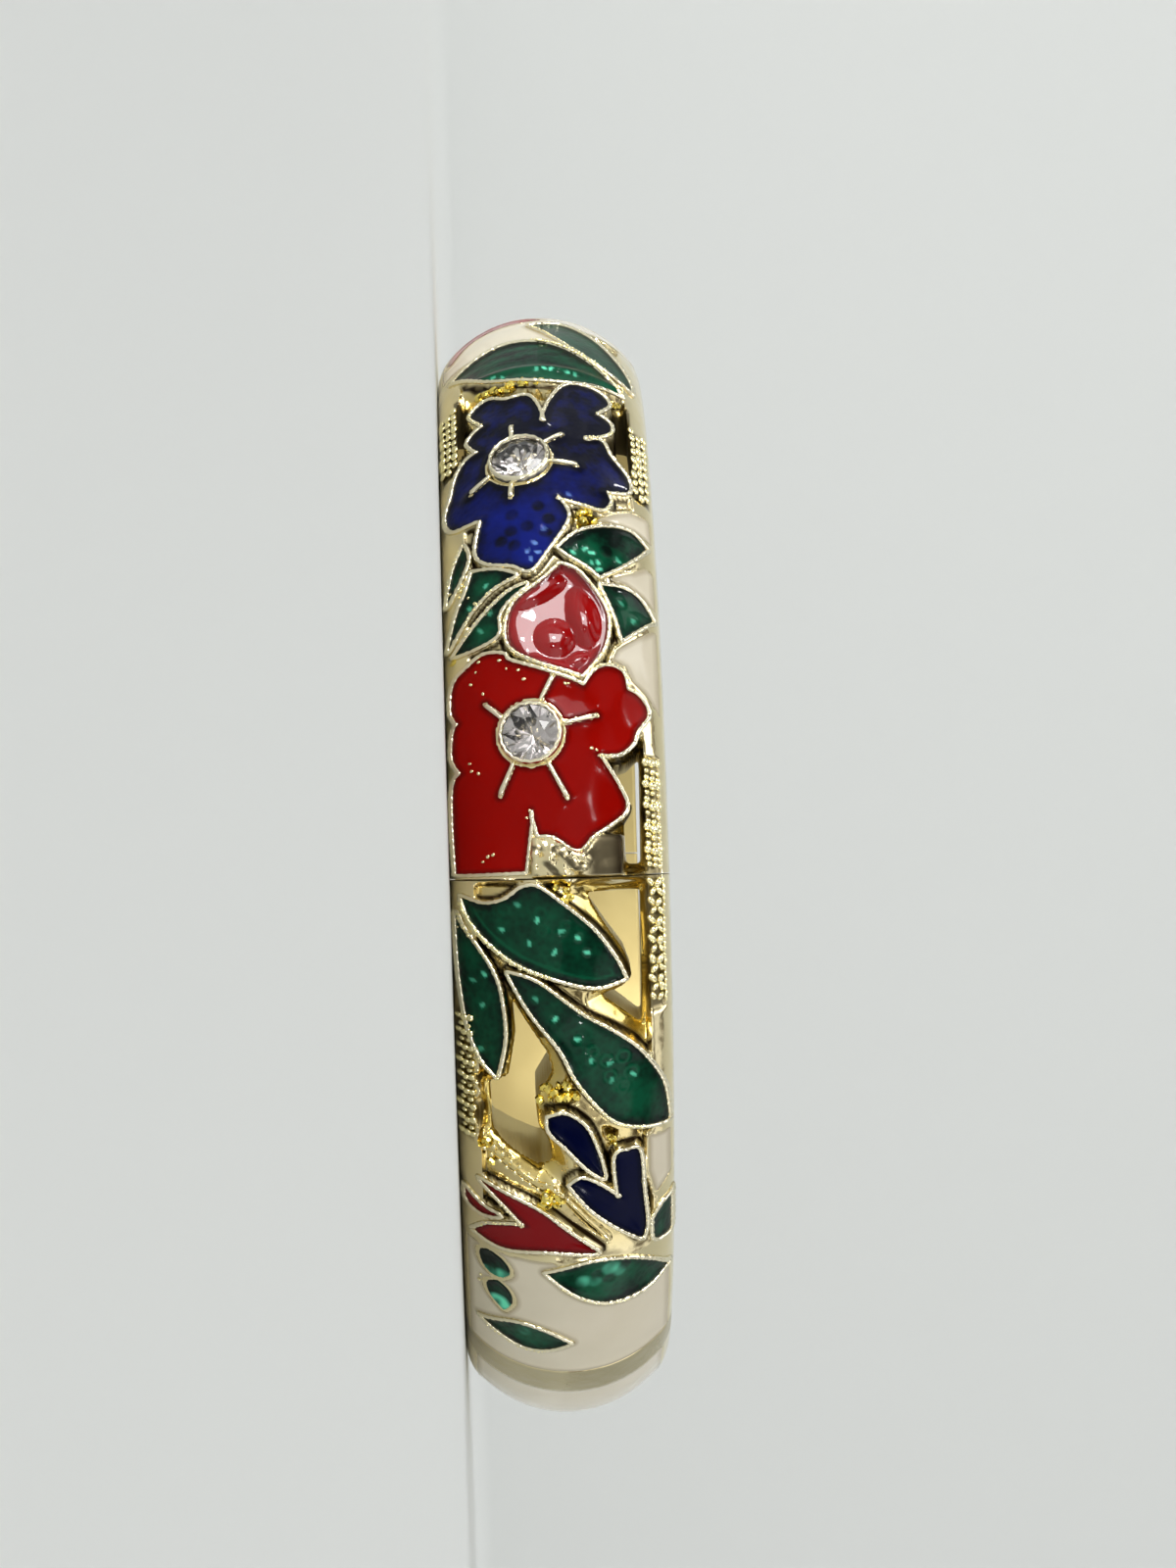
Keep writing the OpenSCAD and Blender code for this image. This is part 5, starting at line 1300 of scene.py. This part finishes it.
def studioWorld():
    world = bpy.data.worlds.new("studio")
    bpy.context.scene.world = world
    world.use_nodes = True
    tree = world.node_tree
    tree.nodes.clear()
    direction = addNode(tree, "TexCoord").outputs["Generated"]
    parts = addNode(tree, "SeparateXYZ", {0: addNode(tree, "VectorMath", {0: direction, "Scale": -1.0},
        operation="SCALE")})
    turn = addNode(tree, "Math", {0: parts.outputs["X"], 1: parts.outputs["Y"]}, operation="ARCTAN2")
    share = addNode(tree, "MapRange", {"Value": turn, "From Min": -np.pi, "From Max": np.pi})
    ramp = addNode(tree, "ValToRGB", {"Fac": share})
    stops = ramp.color_ramp.elements
    for k, (degrees, level) in enumerate(room):
        stop = stops[k] if k < 2 else stops.new(0)
        stop.position = (degrees + 180) / 360
        stop.color = (level, level, level, 1)
    noise = addNode(tree, "TexNoise", {"Vector": direction, "W": patches["seed"], "Scale": patches["scale"],
        "Detail": 2.0}, noise_dimensions="4D")
    patch = addNode(tree, "MapRange", {"Value": noise, "From Min": 0.4, "From Max": 0.6,
        "To Min": patches["dim"], "To Max": patches["bright"]})
    level = addNode(tree, "Math", {0: ramp, 1: patch}, operation="MULTIPLY")
    warm = addNode(tree, "MapRange", {"Value": level, "From Min": 0.08, "From Max": 0.6})
    tint = addNode(tree, "Mix", {"Factor": warm, "A": linear(patches["shade"]), "B": (1, 1, 1, 1)},
        data_type="RGBA")
    background = addNode(tree, "Background", {"Color": tint, "Strength": level})
    addNode(tree, "OutputWorld", {"Surface": background})


# Lights: turn and height angles round the bangle, distance in metres, size, power. Those that light the
# enamel don't show as reflections, and those that show as reflections light nothing else.
lights = {
    "lighting": {
        "window": [95, 14, 0.9, (0.4, 0.3), 5.0],
        "front_glow": [24, 20, 0.9, (0.4, 0.3), 0.45],
        "low_glow": [-95, 25, 0.8, (0.4, 0.3), 0.3],
    },
    "mirrored": {
        "panel": [45, 12.4, 0.8, (0.3, 0.34), 3.4],
        "panel_spot": [46, 8, 0.78, (0.06, 0.07), 0.7],
        "ceiling": [60, 76, 0.9, (0.5, 0.5), 1.6],
    },
}
# Small lamps, also reflections only: turn and height of each
lamps = [[-14, 44], [14, 30], [64, 26], [-38, 8], [92, 10], [48, 38], [2, 4], [110, 40], [24, 8], [-60, 20],
    [52, 60]]
for k, lamp in enumerate(lamps):
    lights["mirrored"]["lamp_" + str(k)] = [*lamp, 0.8, (0.028, 0.028), 0.17]


def aroundBangle(turn, height, distance):
    turn, height = np.radians(turn), np.radians(height)
    return (-np.sin(turn) * np.cos(height) * distance, -np.cos(turn) * np.cos(height) * distance,
        np.sin(height) * distance)


sweepFloor()
placeCamera()
studioWorld()
for use, group in lights.items():
    for name, (turn, height, distance, size, power) in group.items():
        softLight(name, aroundBangle(turn, height, distance), size, power, mirrored=use == "mirrored",
            lighting=use == "lighting")
softLight("sweep_wash", (0, 0.1, 1.5), (2.0, 0.5), 1.6, target=(0, 0.85, 0.5), mirrored=False)
bpy.context.scene.view_settings.view_transform = "Standard"
print("studio ready")
